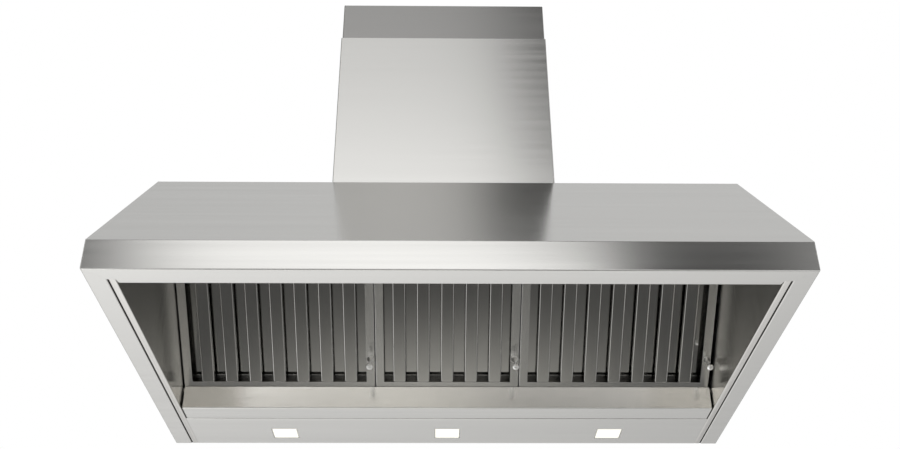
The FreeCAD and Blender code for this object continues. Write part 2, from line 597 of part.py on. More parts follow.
# ---------------------------------------------------------------- flue covers
def flue_lower():
    """The lower cover stands on the canopy: a sheet folded round three sides, with narrow returns
    along the wall."""
    body = piece("flue_lower")
    half = "(flue_width / 2)"
    inner = f"({half} - flue_sheet)"
    outline = [(f"-{half}", "0"), (f"-{half}", FLUE_Y), (half, FLUE_Y), (half, "0"),
               (f"{half} - flue_return", "0"), (f"{half} - flue_return", "-flue_sheet"),
               (inner, "-flue_sheet"), (inner, f"{FLUE_Y} + flue_sheet"),
               (f"-{inner}", f"{FLUE_Y} + flue_sheet"), (f"-{inner}", "-flue_sheet"),
               (f"-{half} + flue_return", "-flue_sheet"), (f"-{half} + flue_return", "0")]
    extrude(body, "sheet", "Z", [outline], TOP_Z, FLUE_TOP)
    place(body, "flue_offset")


def flue_upper():
    """The upper cover slides inside the lower one and is screwed to the wall at its top."""
    half = "(flue_width / 2 - flue_sheet - flue_side_gap)"
    inner = f"({half} - flue_sheet)"
    front = f"({FLUE_Y} + flue_sheet + flue_front_gap)"
    back = "-flue_sheet - flue_front_gap"
    body = piece("flue_upper")
    outline = [(f"-{half}", back), (f"-{half}", front), (half, front), (half, back),
               (inner, back), (inner, f"{front} + flue_sheet"), (f"-{inner}", f"{front} + flue_sheet"),
               (f"-{inner}", back)]
    extrude(body, "sheet", "Z", [outline], f"{UPPER_TOP} - upper_length", UPPER_TOP)
    place(body, "flue_offset")
    flue_bracket(inner)


def flue_bracket(inner):
    """The strip that fixes the upper cover's top to the wall, with ears inside its sides."""
    body = piece("flue_bracket")
    low = f"{UPPER_TOP} - flue_bracket_height"
    sheet = "flue_bracket_sheet"
    back = "(-flue_sheet - flue_front_gap)"
    ear, face = f"({back} - flue_bracket_height)", f"({back} - {sheet})"
    outline = [(f"-{inner}", back), (f"-{inner}", ear), (f"-{inner} + {sheet}", ear),
               (f"-{inner} + {sheet}", face), (f"{inner} - {sheet}", face),
               (f"{inner} - {sheet}", ear), (inner, ear), (inner, back)]
    extrude(body, "strip", "Z", [outline], low, UPPER_TOP)
    middle = f"({UPPER_TOP} - flue_bracket_height / 2)"
    holes = [("circle", f"{sign} * flue_bolt_spacing / 2", middle, "wall_hole_radius")
             for sign in ("-1", "1")]
    extrude(body, "holes", "Y", holes, f"{face} - {sheet}", sheet, cut=True)
    place(body, "flue_offset")


# ---------------------------------------------------------------- duct collar and damper
def duct_collar():
    """Round spigot on the top, with a screw flange and an inner ledge that stops the flaps."""
    body = piece("duct_collar")
    inner = "duct_radius - duct_wall"
    ring = [("circle", "0", "0", "collar_flange_radius"), ("circle", "0", "0", inner)]
    extrude(body, "flange", "Z", ring, "0", "skin")
    pipe = [("circle", "0", "0", "duct_radius"), ("circle", "0", "0", inner)]
    extrude(body, "pipe", "Z", pipe, "0", "collar_height")
    top = "spindle_height - flap_sheet / 2 - stop_gap"
    ledge = [("circle", "0", "0", f"{inner} + duct_wall / 2"), ("circle", "0", "0", f"{inner} - stop_width")]
    extrude(body, "ledge", "Z", ledge, f"{top} - duct_wall", top)
    extrude(body, "spindle_holes", "X",
            [("circle", "0", "spindle_height", "spindle_radius + spindle_play")],
            "-collar_flange_radius", "collar_flange_radius", cut=True)
    extrude(body, "screw_holes", "Z", screw_ring(SCREW_HOLE), "-skin", "2 * skin", cut=True)
    place(body, "0", DUCT_Y, TOP_Z)


def damper():
    """The spindle across the collar and the two half-round flaps that hang on it."""
    spindle = piece("damper_spindle")
    extrude(spindle, "rod", "X", [("circle", "0", "0", "spindle_radius")], "-duct_radius", "duct_radius")
    place(spindle, "0", DUCT_Y, SPINDLE_Z)
    flap("damper_flap_front", "-1", (-2, 0))
    flap("damper_flap_rear", "1", (-1, 1))


def flap(label, sign, starts):
    """A half disc on one side of the spindle, with two knuckles round it.

    The knuckles of the two flaps take turns along the spindle. The plate comes up to the spindle
    only at its own knuckles.
    """
    body = piece(label)
    knuckle = "(spindle_radius + spindle_play + knuckle_wall)"
    clear = f"({knuckle} + knuckle_gap)"
    step = "(knuckle_length + knuckle_gap)"
    edge = "(duct_radius - duct_wall - flap_gap)"
    extrude(body, "disc", "Z", [("circle", "0", "0", edge)], "-flap_sheet / 2", "flap_sheet / 2")
    far = "2 * duct_radius"
    cut_away = (f"-{far}", "0") if sign == "1" else ("0", far)
    block(body, "half", both(far), cut_away, (f"-{knuckle}", knuckle), cut=True)
    for i, start in enumerate(starts):
        low = f"{start} * {step} + knuckle_gap / 2"
        extrude(body, f"knuckle_{i}", "X", [("circle", "0", "0", knuckle)], low,
                f"{low} + knuckle_length")
    others = [s for s in (-2, -1, 0, 1) if s not in starts]
    for i, start in enumerate(others):
        low = f"{start} * {step} - knuckle_gap / 2"
        high = f"{start} * {step} + knuckle_length + 3 * knuckle_gap / 2"
        block(body, f"relief_{i}", (low, high), both(clear), both(clear), cut=True)
    end = f"(2 * {step} - knuckle_gap / 2)"
    for name, span in (("left", ("-duct_radius", f"-{end}")), ("right", (end, "duct_radius"))):
        block(body, f"relief_{name}", span, both(clear), both(clear), cut=True)
    extrude(body, "bore", "X", [("circle", "0", "0", "spindle_radius + spindle_play")], "-duct_radius",
            "duct_radius", cut=True)
    place(body, "0", DUCT_Y, SPINDLE_Z)


def duct_adapter():
    """The plate under the top sheet that joins the blower's outlet to the round hole."""
    body = piece("duct_adapter")
    half = "adapter_side / 2"
    loops = [rectangle(both(half), both(half)), ("circle", "0", "0", "duct_radius - duct_wall")]
    extrude(body, "plate", "Z", loops, "-housing_sheet", "0")
    place(body, "0", DUCT_Y, UNDER_TOP)


# ---------------------------------------------------------------- blower
def scroll_face(grow, top):
    """The blower's side outline, grown outwards: three quarter arcs of rising radius, tangent to
    each other, and the upright outlet in front of the first one. Y and Z are about the shaft."""
    step, radius = value("scroll_step"), value("scroll_radius") + grow
    half = step / 2
    centres = [(half, -half), (-half, -half), (-half, half)]
    radii = [radius, radius + step, radius + 2 * step]
    tongue = half + grow
    rise = math.sqrt(radii[0] ** 2 - grow ** 2)

    def point(y, z):
        return FreeCAD.Vector(0, y, z)

    def arc(index, start, middle, end):
        (y, z), r = centres[index], radii[index]
        places = [point(y + r * math.cos(math.radians(t)), z + r * math.sin(math.radians(t)))
                  for t in (start, middle, end)]
        return Part.Arc(*places).toShape()

    first = math.degrees(math.atan2(rise, grow))
    start = point(tongue, -half + rise)
    front = point(-half - radii[2], half)
    edges = [arc(0, first, first / 2, 0), arc(1, 0, -45, -90), arc(2, -90, -135, -180),
             Part.LineSegment(front, point(front.y, top)).toShape(),
             Part.LineSegment(point(front.y, top), point(tongue, top)).toShape(),
             Part.LineSegment(point(tongue, top), start).toShape()]
    return Part.Face(Part.Wire(edges))


def blower_housing():
    """A wrapper bent round the scroll and two side plates, each with a round inlet and its lip."""
    sheet, width = value("housing_sheet"), value("housing_width")
    centre = FreeCAD.Vector(0, value(BLOWER_Y), value(BLOWER_Z))
    top = value(f"{UNDER_TOP} - housing_sheet - {BLOWER_Z}")
    along = FreeCAD.Vector(1, 0, 0)
    outer = scroll_face(sheet, top).extrude(along * width)
    inner = scroll_face(0, top + sheet).extrude(along * width)
    feature = shape_piece("blower_wrapper", outer.cut(inner))
    feature.Placement = FreeCAD.Placement(centre - along * (width / 2), FreeCAD.Rotation())
    inlet, lip = value("inlet_radius"), value("inlet_lip")
    for side, start, outward in (("left", -width / 2 - sheet, -1), ("right", width / 2, 1)):
        plate = scroll_face(sheet, top).extrude(along * sheet)
        hole = Part.makeCylinder(inlet, 3 * sheet, FreeCAD.Vector(-sheet, 0, 0), along)
        plate = plate.cut(hole)
        mouth = along * (0 if outward < 0 else sheet - lip)
        throat = Part.makeCylinder(inlet + sheet, lip, mouth, along)
        throat = throat.cut(Part.makeCylinder(inlet, lip, mouth, along))
        plate = plate.fuse(throat).removeSplitter()
        part = shape_piece(f"blower_side_{side}", plate)
        part.Placement = FreeCAD.Placement(centre + along * start, FreeCAD.Rotation())


def blower_wheel():
    """A double-width wheel: middle disc, hub, two end rings and forward-leaning blades."""
    body = piece("blower_wheel")
    half, inner = "(wheel_width / 2)", "(wheel_radius - blade_depth)"
    extrude(body, "disc", "X", [("circle", "0", "0", "wheel_radius")], "-blade_sheet", "blade_sheet")
    extrude(body, "hub", "X", [("circle", "0", "0", "hub_radius")], "-hub_length", "shaft_nose")
    for name, low, high in (("ring_left", f"-{half}", f"-{half} + end_ring_width"),
                            ("ring_right", f"{half} - end_ring_width", half)):
        loops = [("circle", "0", "0", "wheel_radius"), ("circle", "0", "0", "wheel_radius - end_ring_wall")]
        extrude(body, name, "X", loops, low, high)
    tip = "wheel_radius - end_ring_wall / 2"
    blade = [(inner, "0"), (tip, "blade_depth / 2"), (tip, "blade_depth / 2 + blade_sheet"),
             (inner, "blade_sheet")]
    pad = extrude(body, "blade", "X", [blade], f"-{half}", half)
    ring_of(body, "blades", [pad], pad.Profile[0], BLADES)
    extrude(body, "bore", "X", [("circle", "0", "0", "shaft_radius + shaft_play / 2")], f"-{half}", half,
            cut=True)
    place(body, "0", BLOWER_Y, BLOWER_Z)


def blower_drive():
    """The motor inside the left half of the wheel, its shaft, and the three-armed bracket."""
    motor = piece("blower_motor")
    face = "(-motor_face)"
    extrude(motor, "case", "X", [("circle", "0", "0", "motor_radius")], f"{face} - motor_length", face)
    extrude(motor, "bore", "X", [("circle", "0", "0", "shaft_radius + shaft_play")],
            f"{face} - shaft_depth - shaft_play", f"{face} + skin", cut=True)
    shaft = piece("blower_shaft")
    extrude(shaft, "rod", "X", [("circle", "0", "0", "shaft_radius")], f"{face} - shaft_depth",
            "shaft_nose")
    bracket = piece("motor_bracket")
    low = "(-housing_width / 2 - housing_sheet - bracket_sheet)"
    loops = [("circle", "0", "0", "motor_radius + motor_seat_gap + bracket_ring"),
             ("circle", "0", "0", "motor_radius + motor_seat_gap")]
    extrude(bracket, "ring", "X", loops, low, f"{low} + bracket_sheet")
    arm = rectangle(("motor_radius + motor_seat_gap + bracket_ring / 2", "bracket_radius"),
                    both("bracket_arm / 2"))
    pad = extrude(bracket, "arm", "X", [arm], low, f"{low} + bracket_sheet")
    ring_of(bracket, "arms", [pad], pad.Profile[0], BRACKET_ARMS)
    for body in (motor, shaft, bracket):
        place(body, "0", BLOWER_Y, BLOWER_Z)


# ---------------------------------------------------------------- electrical pieces
def control_box():
    """The box on the back for the terminals, the lamp driver and the capacitor."""
    body = piece("control_box")
    x0, x1 = BOX_X, f"{BOX_X} + box_width"
    y0, y1 = "-skin - box_depth", "-skin"
    z0, z1 = "box_level", "box_level + box_height"
    block(body, "case", (x0, x1), (y0, y1), (z0, z1))
    block(body, "inside", (f"{x0} + skin", f"{x1} - skin"), (f"{y0} - skin", f"{y1} - skin"),
          (f"{z0} + skin", f"{z1} - skin"), cut=True)
    for i, (x, outward) in enumerate(((x0, "1"), (x1, "-1"))):
        for j, (z, upward) in enumerate(((z0, "1"), (z1, "-1"))):
            block(body, f"ear_{i}{j}", pair(x, f"{x} + {outward} * box_ear"), (y0, f"{y0} + skin"),
                  pair(z, f"{z} + {upward} * box_ear"))
    extrude(body, "ear_holes", "Y", lid_circles(SCREW_HOLE), f"{y0} - skin",
            f"{y0} + 2 * skin", cut=True)
    lid = piece("control_box_lid")
    block(lid, "plate", (x0, x1), (f"{y0} - skin", y0), (z0, z1))
    extrude(lid, "holes", "Y", lid_circles(SCREW_HOLE), f"{y0} - 2 * skin", f"{y0} + skin", cut=True)
    screws = piece("lid_screws")
    head = f"{y0} - skin"
    extrude(screws, "heads", "Y", lid_circles("screw_head"), f"{head} - screw_head_height", head)
    extrude(screws, "shanks", "Y", lid_circles("screw_radius"), head, f"{head} + screw_length")


def pair(first, second):
    """Two expressions in rising order."""
    return (first, second) if value(first) < value(second) else (second, first)


def lid_circles(radius):
    """The four lid screws, in the plane square to Y."""
    xs = (f"{BOX_X} + lid_screw_inset", f"{BOX_X} + box_width - lid_screw_inset")
    zs = ("box_level + lid_screw_inset", "box_level + box_height - lid_screw_inset")
    return [("circle", x, z, radius) for x in xs for z in zs]


def box_contents():
    """Terminal block, lamp driver and capacitor, fixed to the box's back."""
    y = "(-2 * skin)"
    x, z = f"({BOX_X} + fitting_inset)", "(box_level + fitting_inset)"
    block_piece = piece("terminal_block")
    block(block_piece, "body", (x, f"{x} + terminal_width"), (f"{y} - terminal_depth", y),
          (z, f"{z} + terminal_height"))
    driver = piece("lamp_driver")
    top = "(box_level + box_height - fitting_inset)"
    block(driver, "body", (x, f"{x} + driver_width"), (f"{y} - driver_depth", y),
          (f"{top} - driver_height", top))
    capacitor = piece("motor_capacitor")
    side = f"({BOX_X} + box_width - fitting_inset - capacitor_radius)"
    middle = "(box_level + box_height / 2)"
    extrude(capacitor, "can", "Y", [("circle", side, middle, "capacitor_radius")],
            f"{y} - capacitor_length", y)


def cable_gland():
    """The supply's way in through the top, inside the flue cover."""
    body = piece("cable_gland")
    extrude(body, "neck", "Z", [("circle", "0", "0", "gland_radius")], "-skin - gland_below", "gland_above")
    extrude(body, "collar", "Z", [("circle", "0", "0", "gland_flange")], "0", "gland_collar")
    extrude(body, "nut", "Z", [("circle", "0", "0", "gland_flange")], "-skin - gland_nut", "-skin")
    extrude(body, "bore", "Z", [("circle", "0", "0", "gland_bore")], "-2 * skin - gland_below",
            "gland_above + skin", cut=True)
    place(body, GLAND_X, "-gland_from_wall", TOP_Z)


def collar_screws():
    """Eight screws through the collar's flange and the top sheet."""
    body = piece("collar_screws")
    extrude(body, "heads", "Z", screw_ring("screw_head"), "skin", "skin + screw_head_height")
    extrude(body, "shanks", "Z", screw_ring("screw_radius"), "-skin", "skin")
    place(body, "0", DUCT_Y, TOP_Z)


# ---------------------------------------------------------------- build and write
def build():
    canopy_sheets()
    side_panels()
    rear_panel()
    wall_stiffeners()
    side_liners()
    front_liner()
    filter_top_rail()
    filter_rest()
    light_panel()
    lamps()
    grease_tray()
    filters()
    flue_lower()
    flue_upper()
    duct_collar()
    damper()
    duct_adapter()
    blower_housing()
    blower_wheel()
    blower_drive()
    control_box()
    box_contents()
    cable_gland()
    collar_screws()


def check():
    """Stops if an object failed, or a cut took nothing away."""
    for item in DOC.Objects:
        if "Invalid" in item.State or "Error" in item.State:
            raise RuntimeError(f"{item.Label} failed: {item.State}")
        if item.TypeId in ("PartDesign::Pocket", "PartDesign::Groove"):
            if item.Shape.Volume >= item.BaseFeature.Shape.Volume - 1e-6:
                raise RuntimeError(f"{item.Label} cuts nothing")
    for item in PIECES:
        if item.Shape.isNull() or not item.Shape.isValid():
            raise RuntimeError(f"{item.Label} has no valid shape")


def write():
    os.makedirs("parts", exist_ok=True)
    for item in PIECES:
        item.Shape.exportStep(f"parts/{item.Label}.step")
        print(f"{item.Label}: {len(item.Shape.Solids)} solids, {item.Shape.Volume / 1000:.1f} cm3")


build()
DOC.recompute()
check()
write()
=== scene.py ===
# %% [markdown]
# # A canopy range hood in stainless steel
# The hood hangs on a wall over a cooktop. A folded canopy catches the fumes, three baffle filters
# on a slope take out the grease, and a blower sends the air up a duct inside the flue cover.
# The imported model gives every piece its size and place. This script gives them rounded folds,
# finishes, light and a camera. All lengths are in metres, X to the right, Y to the wall, Z up.

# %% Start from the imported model
import json
import math

import bmesh
import bpy
import numpy as np
from mathutils import Matrix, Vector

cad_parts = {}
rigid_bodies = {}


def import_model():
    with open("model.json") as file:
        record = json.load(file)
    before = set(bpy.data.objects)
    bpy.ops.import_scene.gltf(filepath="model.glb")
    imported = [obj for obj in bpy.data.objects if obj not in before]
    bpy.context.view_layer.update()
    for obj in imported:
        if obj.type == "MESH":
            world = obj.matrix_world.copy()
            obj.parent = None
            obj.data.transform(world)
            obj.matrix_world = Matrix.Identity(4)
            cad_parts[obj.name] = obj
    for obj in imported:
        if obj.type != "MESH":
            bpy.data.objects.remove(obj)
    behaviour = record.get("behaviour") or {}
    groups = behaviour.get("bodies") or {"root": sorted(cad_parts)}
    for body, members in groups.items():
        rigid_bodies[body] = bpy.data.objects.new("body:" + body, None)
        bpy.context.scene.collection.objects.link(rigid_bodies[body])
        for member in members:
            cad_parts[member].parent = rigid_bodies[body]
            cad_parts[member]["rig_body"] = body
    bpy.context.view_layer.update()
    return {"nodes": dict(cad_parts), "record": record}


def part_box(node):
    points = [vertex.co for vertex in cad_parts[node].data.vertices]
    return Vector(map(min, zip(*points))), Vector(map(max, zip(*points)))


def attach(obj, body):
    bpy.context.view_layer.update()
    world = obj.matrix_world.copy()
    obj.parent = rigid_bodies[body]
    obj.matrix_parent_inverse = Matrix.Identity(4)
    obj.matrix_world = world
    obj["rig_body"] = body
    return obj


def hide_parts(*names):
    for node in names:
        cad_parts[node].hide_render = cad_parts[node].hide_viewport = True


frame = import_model()
NODES = frame["nodes"]
RECORD = frame["record"]
MM = 0.001

# %% [markdown]
# ## The camera
# The photograph looks up at the hood from the front. Its eight outer corners and the filters' edges
# were matched to the model, which gives the lens and the place below. The frame is 900 by 449.

# %% Camera
FRAME_PIXELS = 900
FOCAL_PIXELS = 1110.8
EYE = np.array([-0.0245, -2.3573, -0.8787])
PITCH, YAW, ROLL = math.radians(31.585), math.radians(0.812), math.radians(-0.230)


def turn_about(axis, angle):
    """Rotation matrix about a unit axis (Rodrigues): I + sin a K + (1 - cos a) K squared."""
    x, y, z = axis
    k = np.array([[0, -z, y], [z, 0, -x], [-y, x, 0]])
    return np.eye(3) + math.sin(angle) * k + (1 - math.cos(angle)) * k @ k


def make_camera():
    """A camera at EYE whose view turns up by PITCH, to the right by YAW and about itself by ROLL."""
    ahead = np.array([math.sin(YAW) * math.cos(PITCH), math.cos(YAW) * math.cos(PITCH), math.sin(PITCH)])
    right = np.array([math.cos(YAW), -math.sin(YAW), 0])
    up = np.cross(right, ahead)
    rolled = turn_about(ahead, -ROLL)
    right, up = rolled @ right, rolled @ up
    data = bpy.data.cameras.new("camera")
    data.sensor_width = 36.0
    data.lens = data.sensor_width * FOCAL_PIXELS / FRAME_PIXELS
    data.clip_start, data.clip_end = 0.05, 50.0
    camera = bpy.data.objects.new("camera", data)
    bpy.context.scene.collection.objects.link(camera)
    matrix = np.eye(4)
    matrix[:3, :3] = np.column_stack([right, up, -ahead])
    matrix[:3, 3] = EYE
    camera.matrix_world = Matrix(matrix.tolist())
    bpy.context.scene.camera = camera
    print(f"camera lens {data.lens:.2f} mm, {np.linalg.norm(EYE):.2f} m from the origin")


make_camera()

# %% [markdown]
# ## Colours and nodes
# Colours are written as they look on a screen, in sRGB hex, and turned to linear light once.
# `add_node` makes one shader node, sets its inputs and links what feeds it.


# %% Helpers for materials
def colour(code):
    """Linear RGBA of an sRGB hex colour: c / 12.92 below 0.04045, else ((c + 0.055) / 1.055) ^ 2.4."""
    parts = np.array([int(code[i:i + 2], 16) for i in (1, 3, 5)]) / 255
    linear = np.where(parts <= 0.04045, parts / 12.92, ((parts + 0.055) / 1.055) ** 2.4)
    return (*linear.tolist(), 1.0)


def add_node(tree, kind, settings=None, **inputs):
    """Adds a node, sets its properties, and sets or links its inputs by name or number."""
    node = tree.nodes.new(kind)
    for name, value in (settings or {}).items():
        setattr(node, name, value)
    for name, value in inputs.items():
        numbered = name[0] == "i" and name[1:].isdigit()
        socket = node.inputs[int(name[1:]) if numbered else name.replace("_", " ")]
        if isinstance(value, bpy.types.NodeSocket):
            tree.links.new(value, socket)
        else:
            socket.default_value = value
    return node


def new_material(name, **shader):
    """A material with one Principled shader, whose plain inputs are given by name."""
    material = bpy.data.materials.new(name)
    material.use_nodes = True
    tree = material.node_tree
    principled = tree.nodes["Principled BSDF"]
    for key, value in shader.items():
        principled.inputs[key.replace("_", " ")].default_value = value
    return material, tree, principled


def smooth_step(tree, value, low, high, start=0.0, end=1.0):
    """`start` below low, `end` above high and a smooth curve between them."""
    step = add_node(tree, "ShaderNodeMapRange", {"interpolation_type": "SMOOTHSTEP"}, Value=value,
                    From_Min=low, From_Max=high, To_Min=start, To_Max=end)
    return step.outputs[0]


def maths(tree, operation, first, second=0.0):
    """One arithmetic node."""
    return add_node(tree, "ShaderNodeMath", {"operation": operation}, i0=first, i1=second).outputs[0]


# %% [markdown]
# ## Brushed stainless steel
# The canopy and the flue are grade 304 sheet, ground along its length with a fine belt. The belt
# leaves grooves some 0.05 mm apart that run the way of the rolling: the eye sees reflections that
# stay sharp along the grooves and smear across them. Here the grooves are noise stretched far along
# one axis, drawn about 0.5 mm apart so that they show, and a slow variation of roughness stands
# for handling and the rolled sheet's own unevenness.


# %% Metals
def brushed_metal(name, tint, roughness, along, groove, depth, streak=0.05, anisotropic=0.6):
    """Metal ground along an axis. `groove` is the spacing across, in mm, and `depth` the bump's, in mm.

    The noise is stretched by 1 : 60, so that one groove is 60 spacings long. The same noise, coarser,
    shifts the roughness by up to `streak`. The tangent is the direction of the smear.
    """
    material, tree, shader = new_material(name, Base_Color=colour(tint), Metallic=1.0, Roughness=roughness,
                                          Anisotropic=anisotropic)
    place = add_node(tree, "ShaderNodeTexCoord").outputs["Object"]
    across = 1 / (groove * MM)
    stretch = [across, across, across]
    stretch["XYZ".index(along)] = across / 60
    lanes = add_node(tree, "ShaderNodeMapping", Vector=place, Scale=stretch)
    grain = add_node(tree, "ShaderNodeTexNoise", Vector=lanes.outputs[0], Scale=1.0, Detail=2.0)
    broad = add_node(tree, "ShaderNodeTexNoise", Vector=lanes.outputs[0], Scale=0.04, Detail=3.0)
    spread = add_node(tree, "ShaderNodeMapRange", Value=broad.outputs[0], From_Min=0.3, From_Max=0.7,
                      To_Min=roughness - streak, To_Max=roughness + streak)
    tree.links.new(spread.outputs[0], shader.inputs["Roughness"])
    bump = add_node(tree, "ShaderNodeBump", Strength=1.0, Distance=depth * MM, Height=grain.outputs[0])
    tree.links.new(bump.outputs[0], shader.inputs["Normal"])
    if along == "Y":
        smear = add_node(tree, "ShaderNodeCombineXYZ", X=1.0)
    else:
        smear = add_node(tree, "ShaderNodeTangent", {"direction_type": "RADIAL", "axis": along})
    tree.links.new(smear.outputs[0], shader.inputs["Tangent"])
    return material


def plain_metal(name, tint, roughness, grain_size, depth):
    """Rolled or cast metal with an even fine grain. `grain_size` and `depth` are in mm."""
    material, tree, shader = new_material(name, Base_Color=colour(tint), Metallic=1.0, Roughness=roughness)
    place = add_node(tree, "ShaderNodeTexCoord").outputs["Object"]
    grain = add_node(tree, "ShaderNodeTexNoise", Vector=place, Scale=1 / (grain_size * MM), Detail=3.0)
    bump = add_node(tree, "ShaderNodeBump", Strength=1.0, Distance=depth * MM, Height=grain.outputs[0])
    tree.links.new(bump.outputs[0], shader.inputs["Normal"])
    return material


SKIN = brushed_metal("brushed_stainless", "#DEDDDA", 0.20, "X", 0.5, 0.0020, 0.02, 0.7)
DULL = brushed_metal("dull_stainless", "#A9A8A6", 0.24, "X", 0.5, 0.0020, 0.02, 0.7)
LINER = brushed_metal("liner_stainless", "#E4E2DE", 0.20, "Z", 0.6, 0.0015, 0.03)
BAFFLE = brushed_metal("baffle_stainless", "#B4B3B0", 0.11, "Y", 0.5, 0.0010, 0.02)
FRAME = brushed_metal("frame_stainless", "#C8C7C4", 0.24, "X", 0.5, 0.0020, 0.02, 0.8)
SPRING = plain_metal("spring_steel", "#A8A8A6", 0.30, 1.5, 0.005)
GALVANISED = plain_metal("galvanised_sheet", "#B9BDC0", 0.42, 6.0, 0.020)
CHROME = plain_metal("polished_steel", "#F6F6F4", 0.28, 2.0, 0.001)
ALUMINIUM = plain_metal("mill_aluminium", "#CFD0D2", 0.32, 2.0, 0.006)
CAST = plain_metal("cast_aluminium", "#BFC1C3", 0.45, 0.8, 0.020)
print("metals made")

# %% [markdown]
# ## Paint, plastic and the lamps' lenses
# The motor's case is dipped in black paint. The electrical pieces are moulded plastic. The lenses
# are frosted and lit from behind, so they glow a warm white.


# %% Paint, plastic and lens
def moulded(name, tint, roughness, grain_size, depth):
    """Plastic or paint with a fine orange-peel grain. `grain_size` and `depth` are in mm."""
    material, tree, shader = new_material(name, Base_Color=colour(tint), Roughness=roughness, IOR=1.5)
    place = add_node(tree, "ShaderNodeTexCoord").outputs["Object"]
    grain = add_node(tree, "ShaderNodeTexNoise", Vector=place, Scale=1 / (grain_size * MM), Detail=2.0)
    bump = add_node(tree, "ShaderNodeBump", Strength=1.0, Distance=depth * MM, Height=grain.outputs[0])
    tree.links.new(bump.outputs[0], shader.inputs["Normal"])
    return material


MOTOR_PAINT = moulded("black_motor_paint", "#222226", 0.35, 1.5, 0.010)
WHITE_PLASTIC = moulded("white_plastic", "#E2E2DC", 0.45, 0.6, 0.004)
BLACK_PLASTIC = moulded("black_nylon", "#1E1E20", 0.50, 0.6, 0.006)
LENS = moulded("frosted_lens", "#FBFAF2", 0.30, 0.8, 0.004)


def light_lens(rim=2.0 * MM, strength=0.9, at_rim=0.12):
    """Makes the lens glow, except at its rim, which hides the housing's wall.

    A place's distance from the middle of its own lens is the greater of those along X and along Y.
    """
    tree = LENS.node_tree
    (x0, y0, _), (x1, y1, _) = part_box("lamp_lens_right")
    place = add_node(tree, "ShaderNodeTexCoord").outputs["Object"]
    x, y, _ = add_node(tree, "ShaderNodeSeparateXYZ", Vector=place).outputs[:3]
    aside = maths(tree, "ABSOLUTE", x)
    from_side_lens = maths(tree, "SUBTRACT", aside, (x0 + x1) / 2)
    aside = maths(tree, "MINIMUM", aside, maths(tree, "ABSOLUTE", from_side_lens))
    ahead = maths(tree, "ABSOLUTE", maths(tree, "SUBTRACT", y, (y0 + y1) / 2))
    away, half = maths(tree, "MAXIMUM", aside, ahead), (x1 - x0) / 2
    shader = tree.nodes["Principled BSDF"]
    shader.inputs["Emission Color"].default_value = colour("#FFFCF0")
    tree.links.new(smooth_step(tree, away, half - rim, half - rim / 2, strength, at_rim),
                   shader.inputs["Emission Strength"])


light_lens()

SLOT_MATERIALS = {"stainless_skin": SKIN, "stainless_dull": DULL, "stainless_liner": LINER,
                  "stainless_baffle": BAFFLE, "stainless_frame": FRAME, "spring_steel": SPRING,
                  "galvanised_steel": GALVANISED, "bright_steel": CHROME, "aluminium_sheet": ALUMINIUM,
                  "cast_aluminium": CAST, "frosted_lens": LENS, "motor_paint": MOTOR_PAINT,
                  "white_plastic": WHITE_PLASTIC, "black_plastic": BLACK_PLASTIC}
SLOT_OF = {part["node"]: part["material_slot"] for part in RECORD["subparts"]}
for name, node in NODES.items():
    node.data.materials.clear()
    node.data.materials.append(SLOT_MATERIALS[SLOT_OF[name]])
print(f"{len(SLOT_MATERIALS)} finishes on {len(NODES)} nodes")

# %% [markdown]
# ## Measures read from the frame
# A detailed piece goes exactly where its plain solid is, so its corners come from the solids' boxes.
# Only what a box can't tell, such as a sheet's thickness, is written here.

# %% Measures
SKIN_SHEET, THIN_SHEET = 1.2 * MM, 1.0 * MM
(_, FRONT, _), (WALL_X, LIP_REAR, FASCIA_TOP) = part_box("canopy_front")
(_, ROOF_EDGE, _), (_, _, TOP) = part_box("canopy_top")
(LIP_X, _, _), (HALF, _, _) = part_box("side_panel_right")
(LINER_X, LIP_FRONT, _), (_, LINER_REAR, _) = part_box("side_liner_right")
HEM, SEAM_GAP, CORNER_NICK = 9 * MM, 2.5 * MM, 4 * MM
STRIP_FLANGE, LINER_DROP = 12 * MM, 22 * MM
DUCT_HOLE_RADIUS = 98 * MM
print(f"canopy {2 * HALF:.3f} m wide, {-FRONT:.3f} m deep and {TOP:.3f} m high")


def roof_height(y):
    """Height of the canopy over a place Y: it climbs evenly from the fascia and ends at the flat top."""
    return np.minimum(FASCIA_TOP + (y - FRONT) * (TOP - FASCIA_TOP) / (ROOF_EDGE - FRONT), TOP)


# %% [markdown]
# ## Folded sheet metal
# Nearly every piece of a range hood is cut flat from sheet and bent in a press brake. A bend is
# never sharp: its inside follows the brake's tool, about one thickness, and that small arc is what
# draws the bright line along each edge. So a piece here is the middle surface of its sheet: a line
# with arcs at its bends, carried along the piece. Solidify gives it the sheet's thickness, and Bevel
# takes the burr off the cut edges.


# %% Helpers for folded sheet
def shifted_line(corners, distance):
    """The open line moved `distance` to its left, with its corners kept sharp.

    A corner moves along the sum of its sides' unit normals n1 and n2, times distance / (1 + n1 . n2).
    """
    along = np.diff(corners, axis=0)
    along /= np.linalg.norm(along, axis=1, keepdims=True)
    normal = np.column_stack([-along[:, 1], along[:, 0]])
    before, after = np.vstack([normal[:1], normal]), np.vstack([normal, normal[-1:]])
    stretch = distance / (1 + (before * after).sum(axis=1))
    return corners + (before + after) * stretch[:, None]


